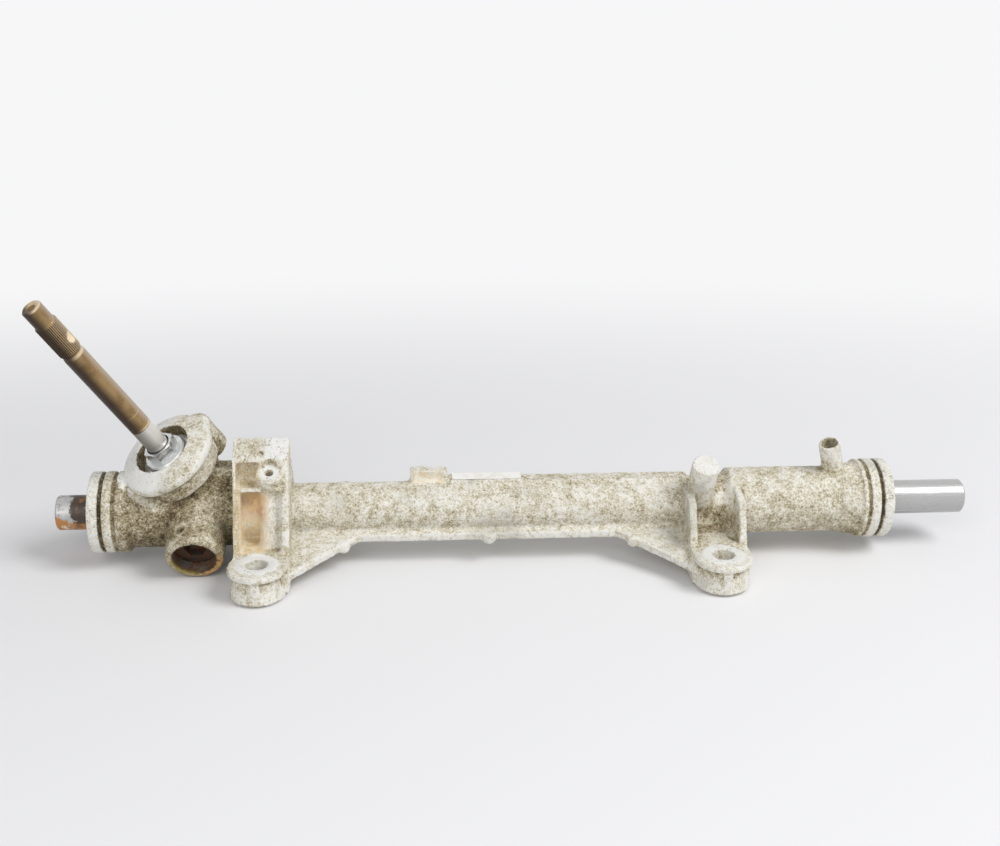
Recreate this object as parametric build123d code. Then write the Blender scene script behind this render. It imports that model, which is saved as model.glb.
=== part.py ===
from build123d import *
import math
import os

# A manual rack-and-pinion steering gear: one cast housing with two mounting brackets, the rack bar, the
# helical pinion on its splined input shaft, the pinion bearings and plug, the sprung rack guide and the bush.
# Millimetres and degrees. X runs along the rack, Y away from the mounting ears, Z up along the ear bolts.
# The origin lies midway between the two ear holes, on the plane of the ear undersides.

# Rack axis, seen from the ear holes
rack_offset = 58.0
rack_height = 32.5

# Rack bar
bar_radius = 11.5
bar_length = 613.0
bar_left = -284.4
bar_chamfer = 1.2
bar_thread_radius = 6.25
bar_thread_depth = 20.0
bar_thread_chamfer = 0.8
groove_count = 28
grooves_left_of_pinion = 11
flat_margin = 1.0

# Gear pair
normal_module = 1.9
pinion_teeth = 8
pressure_angle = 20.0
profile_shift = 0.55
pinion_tip_height = 1.5
pinion_root_depth = 2.38
rack_tooth_height = 1.9
rack_tooth_depth = 2.1
rack_reference_height = 6.3
backlash = 0.16
pinion_face_width = 26.0
pinion_runout = 2.0

# Pinion and guide directions
pinion_station = -192.0
pinion_angle = 64.0
gear_tilt = 24.4

# Input shaft, distances along the pinion axis from the crossing point
shaft_radius = 7.2
shaft_end = 184.6
pilot_radius = 6.5
pilot_length = 13.0
pilot_chamfer = 1.0
spline_radius = 7.4
spline_depth = 0.55
spline_length = 26.0
spline_count = 36
spline_end_bevel = 1.4
spline_collar_length = 3.4
clamp_notch_radius = 4.6
clamp_notch_centre = 10.6
clamp_notch_position = 9.5
end_dish_radius = 4.4
end_dish_depth = 2.2
shoulder_radius = 9.2
tail_radius = 6.0

# Upper ball bearing
bearing_seat = 21.5
bearing_width = 11.0
bearing_bore_radius = 7.5
bearing_outer_radius = 17.5
ball_radius = 2.97
ball_circle_radius = 12.5
ball_count = 8
race_shoulder_inner = 10.4
race_shoulder_outer = 14.6
race_clearance = 0.05
cage_inner_radius = 11.7
cage_outer_radius = 13.3
cage_width = 8.2
cage_clearance = 0.12

# Circlip over the inner race
circlip_thickness = 1.2
circlip_outer_radius = 9.4
circlip_groove_radius = 6.7
circlip_gap_angle = 34.0

# Lower needle bearing
needle_radius = 0.75
needle_count = 12
needle_length = 7.6
needle_clearance = 0.03
needle_cup_wall = 0.6
needle_cup_length = 10.0
needle_cup_inset = 1.0
needle_cage_thickness = 0.8

# Pinion plug and seal
plug_thread_radius = 18.9
plug_thread_clearance = 0.1
plug_top_recess = 8.6
plug_hex_flats = 19.0
plug_hex_height = 7.4
plug_washer_radius = 14.6
plug_washer_height = 5.4
plug_seal_radius = 11.0
plug_relief_radius = 15.0
plug_edge = 1.0
plug_shaft_clearance = 1.0
seal_height = 5.0
seal_clearance = 0.05
seal_lip_thickness = 1.1
seal_dust_depth = 1.0

# Pinion tower of the housing
flange_radius = 32.3
flange_top = 48.6
flange_lip_radius = 21.0
flange_lip_rounding = 1.6
flange_rim_top = 44.4
flange_bottom = 37.3
flange_rounding = 3.0
collar_radius = 28.5
collar_bottom = 24.0
collar_rounding = 3.0
tower_radius = 23.0
tower_bottom = -12.0
lug_reach = 20.5
lug_inset = 6.0
lug_back = 31.0
lug_bottom = 14.0
lug_top = 28.0
lug_rounding = 5.0
hump_radius = 12.5
hump_back = 22.5
hump_side = 14.0
hump_top = 40.0
hump_rounding = 4.0
saddle_height = 33.0
saddle_half_depth = 8.0
saddle_spread = 10.0
saddle_overlap = 3.0
tail_boss_radius = 15.0
tail_boss_bottom = -34.0
tail_boss_rounding = 4.0
pinion_bore_radius = 12.2

# Rack guide and its boss
guide_bore_radius = 14.0
guide_boss_radius = 18.8
guide_boss_root_radius = 21.5
guide_mouth = 42.1
guide_boss_edge = 1.2
guide_clearance = 0.04
guide_front = 4.0
guide_back = 23.0
liner_thickness = 0.6
liner_clearance = 0.04
liner_width = 17.0
liner_half_angle = 52.0
guide_spring_pocket_radius = 8.6
guide_spring_pocket_floor = 15.0
spring_mean_radius = 6.8
spring_wire_radius = 1.2
spring_turns = 3.5
guide_plug_gap = 0.6
guide_plug_length = 9.0
guide_plug_clearance = 0.08
guide_plug_hex_flats = 14.0
guide_plug_hex_depth = 5.0
guide_ring_radius = 1.1
guide_ring_position = 18.5

# Housing tube and its two open ends
housing_left = -261.2
housing_right = 273.8
tube_radius = 17.0
tube_bore_radius = 13.0
left_body_radius = 24.0
right_body_radius = 22.6
right_flare_radius = 25.2
right_flare_length = 16.0
end_collar_radius = 27.0
end_collar_length = 7.0
end_groove_radius = 24.6
end_groove_length = 2.4
end_ring_length = 6.0
end_relief_radius = 25.4
end_relief_length = 2.5
end_lip_radius = 26.8
left_lip_length = 5.6
right_lip_length = 3.0
end_edge = 0.8
bell_radius = 19.0
left_bell_depth = 36.0
right_bell_depth = 82.0
bell_step = 5.0

# Rack bush at the foot of the right bell
bush_radius = 14.2
bush_length = 18.0
bush_clearance = 0.04
bush_flange_radius = 16.0
bush_flange_thickness = 2.0
bush_ring_radius = 1.0

# Mounting brackets and ears
ear_hole_spacing = 300.4
ear_hole_radius = 7.0
ear_radius = 19.0
ear_height = 20.0
ear_plate = 4.4
ear_waist = 3.8
ear_draft = 1.0
ear_rib_width = 6.0
ear_spot_radius = 13.2
ear_spot_height = 0.6
left_bracket_shift = 1.8
left_bracket_width = 36.4
right_bracket_width = 38.6
bracket_wall = 5.4
bracket_back_inset = 1.5
bracket_ledge = 13.0
bracket_lean = 23.0
left_bracket_top = 45.0
bracket_top_depth = 19.5
pocket_floor = 1.5
left_pocket_top = 24.5
recess_floor = 27.5
recess_depth = 12.0
recess_cover = 3.0
recess_width = 14.2
column_radius = 7.6
column_setback = 12.5
column_foot = 4.0
right_wall_brow = 13.4
left_pad_shift = 5.6
right_pad_shift = -7.6
pad_forward = 24.0
pad_up = 37.0
pad_radius = 9.2
pad_length = 34.0
pad_spot_radius = 6.4
pad_spot_height = 9.0
pad_hole_radius = 2.6
pad_hole_depth = 14.0
top_dimple_radius = 2.0
top_dimple_depth = 2.0

# Web along the lower front of the tube
web_thickness = 6.0
web_root_forward = 10.0
web_root_down = 13.5
web_slope = 10.6
web_rib_reach = 8.8
web_gusset_length = 38.2
web_gusset_reach = 17.5
web_ear_reach = 53.0
web_blend_length = 10.0
ejector_radius = 4.4
ejector_proud = 0.5

# Cast details on the tube
stop_pad_left = -52.0
stop_pad_width = 25.0
stop_pad_depth = 9.0
stop_pad_height = 25.5
stop_pad_frame = 2.2
stop_pad_recess = 0.8
label_pad_left = -25.0
label_pad_width = 49.0
label_pad_depth = 13.0
label_pad_height = 19.6
ridge_height = 18.5
bump_station = -95.0
bump_radius = 4.0
bump_proud = 1.0
breather_station = 229.8
breather_radius = 7.4
breather_bore_radius = 5.0
breather_reach = 46.5
breather_lean_left = 15.5
breather_lean_forward = 14.0
breather_bore_depth = 18.0
breather_vent_radius = 2.0
breather_edge = 1.6

# Directions: guide points down the sprung guide, rise is square to the guide and the rack
rack_direction = Vector(1, 0, 0)
tilt = math.radians(gear_tilt)
guide = Vector(0, -math.cos(tilt), -math.sin(tilt))
rise = Vector(0, -math.sin(tilt), math.cos(tilt))
slant = math.radians(pinion_angle)
pinion_direction = rise * math.sin(slant) - rack_direction * math.cos(slant)

# Gear values
helix = math.radians(90 - pinion_angle)
transverse_module = normal_module / math.cos(helix)
pitch_radius = transverse_module * pinion_teeth / 2
transverse_pressure = math.atan(math.tan(math.radians(pressure_angle)) / math.cos(helix))
base_radius = pitch_radius * math.cos(transverse_pressure)
reference_radius = pitch_radius + profile_shift * normal_module
tip_radius = reference_radius + pinion_tip_height
root_radius = reference_radius - pinion_root_depth
axis_distance = rack_reference_height + reference_radius
rack_pitch = math.pi * normal_module

# Local frames, all seen from the rack axis
crossing = Vector(pinion_station, 0, 0) - guide * axis_distance
pinion_frame = Plane(origin=crossing, x_dir=guide, z_dir=pinion_direction)
guide_frame = Plane(origin=(pinion_station, 0, 0), x_dir=rack_direction, z_dir=guide)
rack_place = Pos(0, rack_offset, rack_height)

# Places that several pieces share
bar_right = bar_left + bar_length
ear_reach = ear_hole_spacing / 2
ear_floor = -rack_height
ear_top = ear_floor + ear_height
left_bracket = -ear_reach + left_bracket_shift
right_bracket = ear_reach
left_pad = left_bracket + left_pad_shift
right_pad = right_bracket + right_pad_shift
bush_left = housing_right - right_bell_depth - bush_length
bearing_top = bearing_seat + bearing_width
plug_bottom = bearing_top
plug_top = flange_top - plug_top_recess
washer_top = plug_top + plug_washer_height
hex_top = washer_top + plug_hex_height
seal_bottom = plug_bottom + 2 * circlip_thickness
needle_raceway = tail_radius + 2 * (needle_radius + needle_clearance)
needle_cup_radius = needle_raceway + needle_cup_wall
tail_start = -pinion_face_width / 2 - pinion_runout
needle_cup_top = tail_start - needle_cup_inset
needle_cup_bottom = needle_cup_top - needle_cup_length
spline_start = shaft_end - pilot_length - spline_length


def turned(outline):
    """Turn an outline of (distance along, radius) points about the X axis."""
    wire = Polyline(*[(along, 0, radius) for along, radius in outline], close=True)
    return revolve(make_face(wire), Axis.X, 360)


def turned_upright(outline):
    """Turn an outline of (radius, height) points about the Z axis."""
    wire = Polyline(*[(radius, 0, height) for radius, height in outline], close=True)
    return revolve(make_face(wire), Axis.Z, 360)


def rod(radius, bottom, top):
    """Upright cylinder between two heights."""
    return Pos(0, 0, (bottom + top) / 2) * Cylinder(radius, top - bottom)


def tube(outer, inner, bottom, top):
    """Upright ring between two heights."""
    return rod(outer, bottom, top) - rod(inner, bottom, top)


def slab(side_outline, centre, width):
    """Plate of an outline of (Y, Z) points, as wide as width along X."""
    wire = Polyline(*[(centre - width / 2, y, z) for y, z in side_outline], close=True)
    return extrude(make_face(wire), amount=width, dir=(1, 0, 0))


def ring_of(radius, wire_radius, height):
    """Upright round-section ring."""
    return Pos(0, 0, height) * Torus(radius, wire_radius)


def on_pinion(solid):
    """Move a solid from the pinion's own frame to the rack's."""
    return pinion_frame.location * solid


def on_guide(solid):
    """Move a solid from the guide's own frame to the rack's."""
    return guide_frame.location * solid


def housing_outside():
    """Outer turned form of the tube: bellows grooves at both ends, bodies and the slim middle."""
    left_collar = housing_left + end_collar_length
    left_groove = left_collar + end_groove_length
    left_ring = left_groove + end_ring_length
    left_relief = left_ring + end_relief_length
    left_lip = left_relief + left_lip_length
    left_body_end = left_bracket + left_bracket_width / 2
    right_collar = housing_right - end_collar_length
    right_groove = right_collar - end_groove_length
    right_ring = right_groove - end_ring_length
    right_relief = right_ring - end_relief_length
    right_lip = right_relief - right_lip_length
    right_body_start = right_bracket + right_bracket_width / 2 - bracket_wall
    outline = [
        (housing_left, 0), (housing_left, end_collar_radius - end_edge),
        (housing_left + end_edge, end_collar_radius), (left_collar, end_collar_radius),
        (left_collar, end_groove_radius), (left_groove, end_groove_radius),
        (left_groove, end_collar_radius), (left_ring, end_collar_radius),
        (left_ring, end_relief_radius), (left_relief, end_relief_radius),
        (left_relief, end_lip_radius), (left_lip, end_lip_radius),
        (left_lip + end_groove_length, left_body_radius), (left_body_end - bracket_wall, left_body_radius),
        (left_body_end, tube_radius), (right_body_start - bracket_wall, tube_radius),
        (right_body_start, right_body_radius), (right_lip - right_flare_length, right_body_radius),
        (right_lip, right_flare_radius), (right_lip, end_lip_radius), (right_relief, end_lip_radius),
        (right_relief, end_relief_radius), (right_ring, end_relief_radius),
        (right_ring, end_collar_radius), (right_groove, end_collar_radius),
        (right_groove, end_groove_radius), (right_collar, end_groove_radius),
        (right_collar, end_collar_radius), (housing_right - end_edge, end_collar_radius),
        (housing_right, end_collar_radius - end_edge), (housing_right, 0),
    ]
    return turned(outline)


def housing_bores():
    """Rack bore with its open bells and the bush seat."""
    left_bell = housing_left + left_bell_depth
    right_bell = housing_right - right_bell_depth
    outline = [
        (housing_left, 0), (housing_left, bell_radius), (left_bell, bell_radius),
        (left_bell + bell_step, tube_bore_radius), (bush_left, tube_bore_radius),
        (bush_left, bush_radius), (right_bell - bush_flange_thickness, bush_radius),
        (right_bell - bush_flange_thickness, bush_flange_radius), (right_bell, bush_flange_radius),
        (right_bell, bell_radius), (housing_right, bell_radius), (housing_right, 0),
    ]
    return turned(outline)


def pinion_tower():
    """Fat-rimmed flange, the collar under it, the tower and the closed boss round the shaft's tail."""
    flange_outline = [
        (0, flange_bottom), (flange_radius, flange_bottom), (flange_radius, flange_rim_top),
        (flange_lip_radius, flange_top), (0, flange_top),
    ]
    flange = turned_upright(flange_outline)
    rings = flange.edges().filter_by(GeomType.CIRCLE).sort_by(Axis.Z)
    flange = fillet(rings[:2], flange_rounding)
    flange = fillet(flange.edges().filter_by(GeomType.CIRCLE).sort_by(Axis.Z)[-1], flange_lip_rounding)
    collar = rod(collar_radius, collar_bottom, flange_bottom + flange_rounding)
    collar = fillet(collar.edges().filter_by(GeomType.CIRCLE).sort_by(Axis.Z)[0], collar_rounding)
    tower = rod(tower_radius, tower_bottom, collar_bottom + collar_rounding)
    boss = rod(tail_boss_radius, tail_boss_bottom, tower_bottom + tail_boss_rounding)
    boss = fillet(boss.edges().filter_by(GeomType.CIRCLE).sort_by(Axis.Z)[0], tail_boss_rounding)
    return on_pinion(flange + collar + tower + boss + tower_hump() + tower_lug())


def tower_lug():
    """Square-shouldered lug low behind the flange, towards the left bracket."""
    width = lug_reach - lug_inset
    middle = Pos(-lug_back / 2, lug_inset + width / 2, (lug_bottom + lug_top) / 2)
    lug = middle * Box(lug_back, width, lug_top - lug_bottom)
    return fillet(lug.edges().filter_by(Axis.Z).sort_by(Axis.X)[:2], lug_rounding)


def tower_hump():
    """Round-topped hump behind the flange."""
    hump = rod(hump_radius, lug_bottom, hump_top)
    hump = fillet(hump.edges().filter_by(GeomType.CIRCLE).sort_by(Axis.Z)[-1], hump_rounding)
    return Pos(-hump_back, hump_side, 0) * hump


def tower_saddle():
    """Wall over the tube that joins the pinion tower to the left bracket."""
    foot = saddle_half_depth + saddle_spread
    outline = [
        (-foot, 0), (-foot, left_body_radius / 2), (-saddle_half_depth, saddle_height),
        (saddle_half_depth, saddle_height), (foot, left_body_radius / 2), (foot, 0),
    ]
    start = pinion_station
    end = left_bracket - left_bracket_width / 2 + saddle_overlap
    return slab(outline, (start + end) / 2, end - start)


def pinion_bores():
    """Stepped bore of the pinion tower, from the plug's thread down to the needle cup."""
    thread = plug_thread_radius + plug_thread_clearance
    outline = [
        (0, needle_cup_bottom - 2 * needle_cup_wall), (tail_radius, needle_cup_bottom - 2 * needle_cup_wall),
        (tail_radius, needle_cup_bottom), (needle_cup_radius, needle_cup_bottom),
        (needle_cup_radius, tail_start), (pinion_bore_radius, tail_start),
        (pinion_bore_radius, bearing_seat), (bearing_outer_radius, bearing_seat),
        (bearing_outer_radius, bearing_top), (thread, bearing_top),
        (thread, flange_top + flange_rounding), (0, flange_top + flange_rounding),
    ]
    return on_pinion(turned_upright(outline))


def guide_boss():
    """Tapered boss of the sprung guide, open at its mouth."""
    outline = [
        (0, 0), (guide_boss_root_radius, 0), (guide_boss_radius, guide_mouth - guide_boss_edge),
        (guide_boss_radius - guide_boss_edge, guide_mouth), (0, guide_mouth),
    ]
    return on_guide(turned_upright(outline))


def guide_bore():
    """Plain bore of the sprung guide."""
    return on_guide(rod(guide_bore_radius, 0, guide_mouth))


def bracket_front(height):
    """Y of the leaning front face of a bracket at a height."""
    lean = math.tan(math.radians(bracket_lean))
    return -rack_offset + bracket_ledge + (height - ear_top) * lean


def left_bracket_block():
    """Tall left bracket with its lower pocket, the upper recess and a tilted top."""
    top_front = bracket_front(left_bracket_top)
    top_back = top_front + bracket_top_depth * math.cos(tilt)
    back = tube_radius - bracket_back_inset
    outline = [
        (bracket_front(ear_top), ear_top), (top_front, left_bracket_top),
        (top_back, left_bracket_top + bracket_top_depth * math.sin(tilt)),
        (back, tube_radius), (back, -tube_radius), (-tube_radius, -left_body_radius),
        (-rack_offset + ear_radius, ear_floor), (-rack_offset, ear_floor), (-rack_offset, ear_top),
    ]
    block = slab(outline, left_bracket, left_bracket_width)
    pocket_outline = [
        (-rack_offset - ear_radius, ear_top + pocket_floor), (-rack_offset - ear_radius, left_pocket_top),
        (-tube_radius, left_pocket_top), (-tube_radius, ear_top + pocket_floor),
    ]
    pocket = slab(pocket_outline, left_bracket, left_bracket_width - 2 * bracket_wall)
    recess_top = left_bracket_top - recess_cover
    recess_back = bracket_front(recess_floor) + recess_depth
    recess_outline = [
        (-rack_offset, recess_floor), (-rack_offset, recess_top),
        (recess_back, recess_top), (recess_back, recess_floor),
    ]
    recess_centre = left_bracket - left_bracket_width / 2 + bracket_wall / 2 + recess_width / 2
    recess = slab(recess_outline, recess_centre, recess_width)
    return block - pocket - recess + pocket_column()


def pocket_column():
    """Leaning column that carries the left upper pad, standing in the bracket's lower pocket."""
    lean = math.radians(bracket_lean)
    foot = (left_pad, bracket_front(ear_top) + column_setback, ear_top)
    frame = Plane(origin=foot, x_dir=rack_direction, z_dir=(0, math.sin(lean), math.cos(lean)))
    height = (recess_floor - ear_top) / math.cos(lean)
    return frame.location * rod(column_radius, -column_foot, height)


def right_bracket_block():
    """Low right bracket: two walls that run up the front of the tube, with an open pocket between them."""
    back = tube_radius - bracket_back_inset
    wall_top = tube_radius + bracket_wall / 2
    outline = [
        (bracket_front(ear_top), ear_top), (bracket_front(right_wall_brow), right_wall_brow),
        (-tube_radius, tube_radius), (0, wall_top), (back, tube_radius / 2),
        (back, -tube_radius), (-tube_radius, -left_body_radius),
        (-rack_offset + ear_radius, ear_floor), (-rack_offset, ear_floor), (-rack_offset, ear_top),
    ]
    block = slab(outline, right_bracket, right_bracket_width)
    floor = ear_top + pocket_floor / 2
    pocket_outline = [
        (-rack_offset - ear_radius, floor), (-rack_offset - ear_radius, wall_top + bracket_wall),
        (-bracket_wall, wall_top + bracket_wall), (-bracket_wall, 0),
        (-tube_radius + bracket_wall / 2, 0), (-tube_radius - bracket_wall, floor),
    ]
    pocket = slab(pocket_outline, right_bracket, right_bracket_width - 2 * bracket_wall)
    return block - pocket


def ear(reach, centre, width):
    """Mounting ear: a round plate over a waisted boss with a rib down its front."""
    plate = Pos(reach, -rack_offset, 0) * rod(ear_radius, ear_top - ear_plate, ear_top)
    plate = fillet(plate.edges().filter_by(GeomType.CIRCLE), ear_plate / 4)
    waist = ear_radius - ear_waist
    boss_outline = [
        (0, ear_floor), (ear_radius - ear_draft, ear_floor),
        (waist, ear_top - ear_plate), (0, ear_top - ear_plate),
    ]
    boss = Pos(reach, -rack_offset, 0) * turned_upright(boss_outline)
    rib_outline = [
        (-rack_offset, ear_floor), (-rack_offset - ear_radius + ear_draft, ear_floor),
        (-rack_offset - ear_radius + ear_draft, ear_top - ear_plate), (-rack_offset, ear_top - ear_plate),
    ]
    rib = slab(rib_outline, reach, ear_rib_width)
    spot = rod(ear_spot_radius, ear_top - ear_plate / 2, ear_top + ear_spot_height)
    spot = Pos(reach, -rack_offset, 0) * spot
    back = Pos(centre, -rack_offset + ear_radius / 2, (ear_floor + ear_top) / 2)
    back = back * Box(width, ear_radius, ear_height)
    return plate + boss + rib + spot + back


def pad_frame(station):
    """Frame on an upper pad face, with Z out of the face."""
    return Plane(origin=(station, -pad_forward, pad_up), x_dir=rack_direction, z_dir=rise)


def pad_post(station):
    """Round post square to the gear tilt that carries an upper pad face."""
    return pad_frame(station).location * rod(pad_radius, -pad_length, 0)


def pad_hole():
    """Blind hole in the left upper pad, under the spot face cut into the bracket."""
    hole = rod(pad_hole_radius, -pad_hole_depth, 0) + rod(pad_spot_radius, 0, pad_spot_height)
    return pad_frame(left_pad).location * hole


def top_dimple():
    """Shallow dimple in the tilted top of the left bracket."""
    middle = bracket_top_depth / 4
    place = Vector(left_bracket, bracket_front(left_bracket_top), left_bracket_top)
    place = place + Vector(0, math.cos(tilt), math.sin(tilt)) * middle
    frame = Plane(origin=place, x_dir=rack_direction, z_dir=rise)
    return frame.location * rod(top_dimple_radius, -top_dimple_depth, top_dimple_depth)


def front_web():
    """Web along the lower front of the tube, with a gusset to each ear and three ejector bosses."""
    slope = math.radians(web_slope)
    frame = Plane(
        origin=(0, -web_root_forward, -web_root_down), x_dir=rack_direction,
        z_dir=(0, math.sin(slope), -math.cos(slope)),
    )
    ear_side = ear_reach - left_bracket_width / 2 + bracket_wall / 2
    gusset = ear_side - web_gusset_length
    outline = [
        (-ear_side, 0), (-ear_side, web_ear_reach), (-gusset, web_gusset_reach),
        (-gusset + web_blend_length, web_rib_reach), (gusset - web_blend_length, web_rib_reach),
        (gusset, web_gusset_reach), (ear_side, web_ear_reach), (ear_side, 0),
    ]
    web = extrude(make_face(Polyline(*outline, close=True)), amount=web_thickness / 2, both=True)
    mark_reach = web_gusset_reach - ejector_radius / 2
    marks = [(-gusset, mark_reach), (0, web_rib_reach), (gusset, mark_reach)]
    for along, reach in marks:
        web += Pos(along, reach, 0) * Cylinder(ejector_radius, web_thickness + 2 * ejector_proud)
    return frame.location * web


def stop_pad():
    """Square pad on top of the tube with a shallow framed face."""
    centre = stop_pad_left + stop_pad_width / 2
    block = Pos(centre, stop_pad_depth / 2, stop_pad_height / 2) * Box(
        stop_pad_width, stop_pad_depth, stop_pad_height)
    face_height = stop_pad_height - tube_radius
    face = Pos(centre, 0, tube_radius + face_height / 2) * Box(
        stop_pad_width - 2 * stop_pad_frame, 2 * stop_pad_recess, face_height - stop_pad_frame)
    return block - face


def label_pad():
    """Low flat pad on top of the tube."""
    centre = label_pad_left + label_pad_width / 2
    return Pos(centre, label_pad_depth / 4, label_pad_height / 2) * Box(
        label_pad_width, label_pad_depth, label_pad_height)


def top_ridge():
    """Low flat ridge along the top of the tube, from the label pad to the right bracket."""
    start = label_pad_left + label_pad_width
    end = right_bracket - right_bracket_width / 2 + bracket_wall
    return Pos((start + end) / 2, label_pad_depth / 4, ridge_height / 2) * Box(
        end - start, label_pad_depth, ridge_height)


def tube_bump():
    """Small round bump on top of the tube."""
    return Pos(bump_station, 0, 0) * rod(bump_radius, 0, tube_radius + bump_proud)


def breather_frame():
    """Frame on the rack axis whose Z runs up the leaning breather stub."""
    left = math.tan(math.radians(breather_lean_left))
    forward = math.tan(math.radians(breather_lean_forward))
    return Plane(origin=(breather_station + breather_reach * left, breather_reach * forward / 2, 0),
                 x_dir=rack_direction, z_dir=(-left, -forward, 1))


def breather_stub():
    """Cast stub for the breather pipe, with a rounded rim."""
    stub = rod(breather_radius, tube_bore_radius, breather_reach)
    top = stub.edges().filter_by(GeomType.CIRCLE).sort_by(Axis.Z)[-1]
    return breather_frame().location * fillet(top, breather_edge)


def breather_bore():
    """Socket of the breather stub and the vent into the bell."""
    socket = rod(breather_bore_radius, breather_reach - breather_bore_depth, breather_reach + breather_edge)
    return breather_frame().location * (socket + rod(breather_vent_radius, 0, breather_reach))


def rack_housing():
    """The whole casting."""
    body = housing_outside() + left_bracket_block() + right_bracket_block()
    body += ear(-ear_reach, left_bracket, left_bracket_width)
    body += ear(ear_reach, right_bracket, right_bracket_width)
    body += front_web()
    body += pinion_tower()
    body += guide_boss()
    body += tower_saddle()
    body += pad_post(left_pad)
    body += pad_post(right_pad)
    body += stop_pad()
    body += label_pad()
    body += top_ridge()
    body += tube_bump()
    body += breather_stub()
    body -= housing_bores()
    body -= pinion_bores()
    body -= guide_bore()
    body -= breather_bore()
    body -= pad_hole()
    body -= top_dimple()
    for side in (-1, 1):
        hole = rod(ear_hole_radius, ear_floor - ear_spot_height, ear_top + 2 * ear_spot_height)
        body -= Pos(side * ear_reach, -rack_offset, 0) * hole
    return body


def rack_bar():
    """Round bar with a toothed flat towards the pinion and a threaded hole in each end."""
    outline = [
        (bar_left, 0), (bar_left, bar_radius - bar_chamfer), (bar_left + bar_chamfer, bar_radius),
        (bar_right - bar_chamfer, bar_radius), (bar_right, bar_radius - bar_chamfer), (bar_right, 0),
    ]
    bar = turned(outline)
    for end, inward in ((bar_left, 1), (bar_right, -1)):
        hole = [
            (end, 0), (end, bar_thread_radius + bar_thread_chamfer),
            (end + inward * bar_thread_chamfer, bar_thread_radius),
            (end + inward * bar_thread_depth, bar_thread_radius), (end + inward * bar_thread_depth, 0),
        ]
        bar -= turned(hole)
    tooth_top = rack_reference_height + rack_tooth_height
    first = pinion_station - grooves_left_of_pinion * rack_pitch
    last = first + (groove_count - 1) * rack_pitch
    flank = math.tan(math.radians(pressure_angle))
    half_space = rack_pitch / 4 + backlash / 2
    half_top = half_space + (bar_radius - rack_reference_height) * flank
    half_root = half_space - rack_tooth_depth * flank
    frame = Plane(origin=(0, 0, 0), x_dir=rack_direction, z_dir=rise)
    flat_start = first - half_space - flat_margin - rack_tooth_height * flank
    flat_end = last + half_space + flat_margin + rack_tooth_height * flank
    tool_height = bar_radius
    flat = Pos((flat_start + flat_end) / 2, tooth_top + tool_height / 2, 0) * Box(
        flat_end - flat_start, tool_height, 4 * bar_radius)
    tooth_root = rack_reference_height - rack_tooth_depth
    cutter = make_face(Polyline(
        (-half_root, tooth_root), (half_root, tooth_root),
        (half_top, bar_radius), (-half_top, bar_radius), close=True))
    cutter = extrude(cutter, amount=2 * bar_radius, both=True)
    bar -= frame.location * flat
    stations = [first + index * rack_pitch for index in range(groove_count)]
    cutters = [frame.location * Pos(station, 0, 0) * cutter for station in stations]
    return bar - cutters


def involute_point(radius, half_angle):
    """Point of a tooth flank at a radius; half_angle is the flank's angle on the base circle."""
    roll = math.sqrt(max(radius ** 2 - base_radius ** 2, 0)) / base_radius
    angle = half_angle - (roll - math.atan(roll))
    return radius, angle


def pinion_section():
    """Transverse section of the pinion: involute flanks on a round root."""
    involute = math.tan(transverse_pressure) - transverse_pressure
    thickness = transverse_module * math.pi / 2
    thickness += 2 * profile_shift * normal_module * math.tan(transverse_pressure)
    half_angle = thickness / (2 * pitch_radius) + involute
    steps = 6
    radii = [base_radius + (tip_radius - base_radius) * step / steps for step in range(steps + 1)]
    flank = [involute_point(radius, half_angle) for radius in radii]
    edges = []
    pitch_angle = 2 * math.pi / pinion_teeth

    def place(radius, angle):
        return Vector(radius * math.cos(angle), radius * math.sin(angle), 0)

    for tooth in range(pinion_teeth):
        middle = tooth * pitch_angle
        rising = [place(radius, middle - angle) for radius, angle in flank]
        falling = [place(radius, middle + angle) for radius, angle in reversed(flank)]
        root_rise = place(root_radius, middle - half_angle)
        root_fall = place(root_radius, middle + half_angle)
        next_root = place(root_radius, middle + pitch_angle - half_angle)
        tip = place(tip_radius, middle)
        bottom = place(root_radius, middle + pitch_angle / 2)
        edges.append(Edge.make_line(root_rise, rising[0]))
        edges.append(Edge.make_spline(rising))
        edges.append(Edge.make_three_point_arc(rising[-1], tip, falling[0]))
        edges.append(Edge.make_spline(falling))
        edges.append(Edge.make_line(falling[-1], root_fall))
        edges.append(Edge.make_three_point_arc(root_fall, bottom, next_root))
    return Face(Wire(edges))


def pinion_gear():
    """Helical pinion centred on the crossing point."""
    twist = math.degrees(pinion_face_width * math.tan(helix) / pitch_radius)
    section = pinion_section()
    gear = Solid.extrude_linear_with_rotation(
        section, center=(0, 0, 0), normal=(0, 0, pinion_face_width), angle=twist)
    return Pos(0, 0, -pinion_face_width / 2) * Rot(0, 0, -twist / 2) * gear


def spline_section():
    """Section of the splined end: a closed ring of V serrations."""
    points = []
    for index in range(spline_count):
        crest = 2 * math.pi * index / spline_count
        valley = crest + math.pi / spline_count
        points.append((spline_radius * math.cos(crest), spline_radius * math.sin(crest)))
        low = spline_radius - spline_depth
        points.append((low * math.cos(valley), low * math.sin(valley)))
    return make_face(Polyline(*points, close=True))


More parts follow.
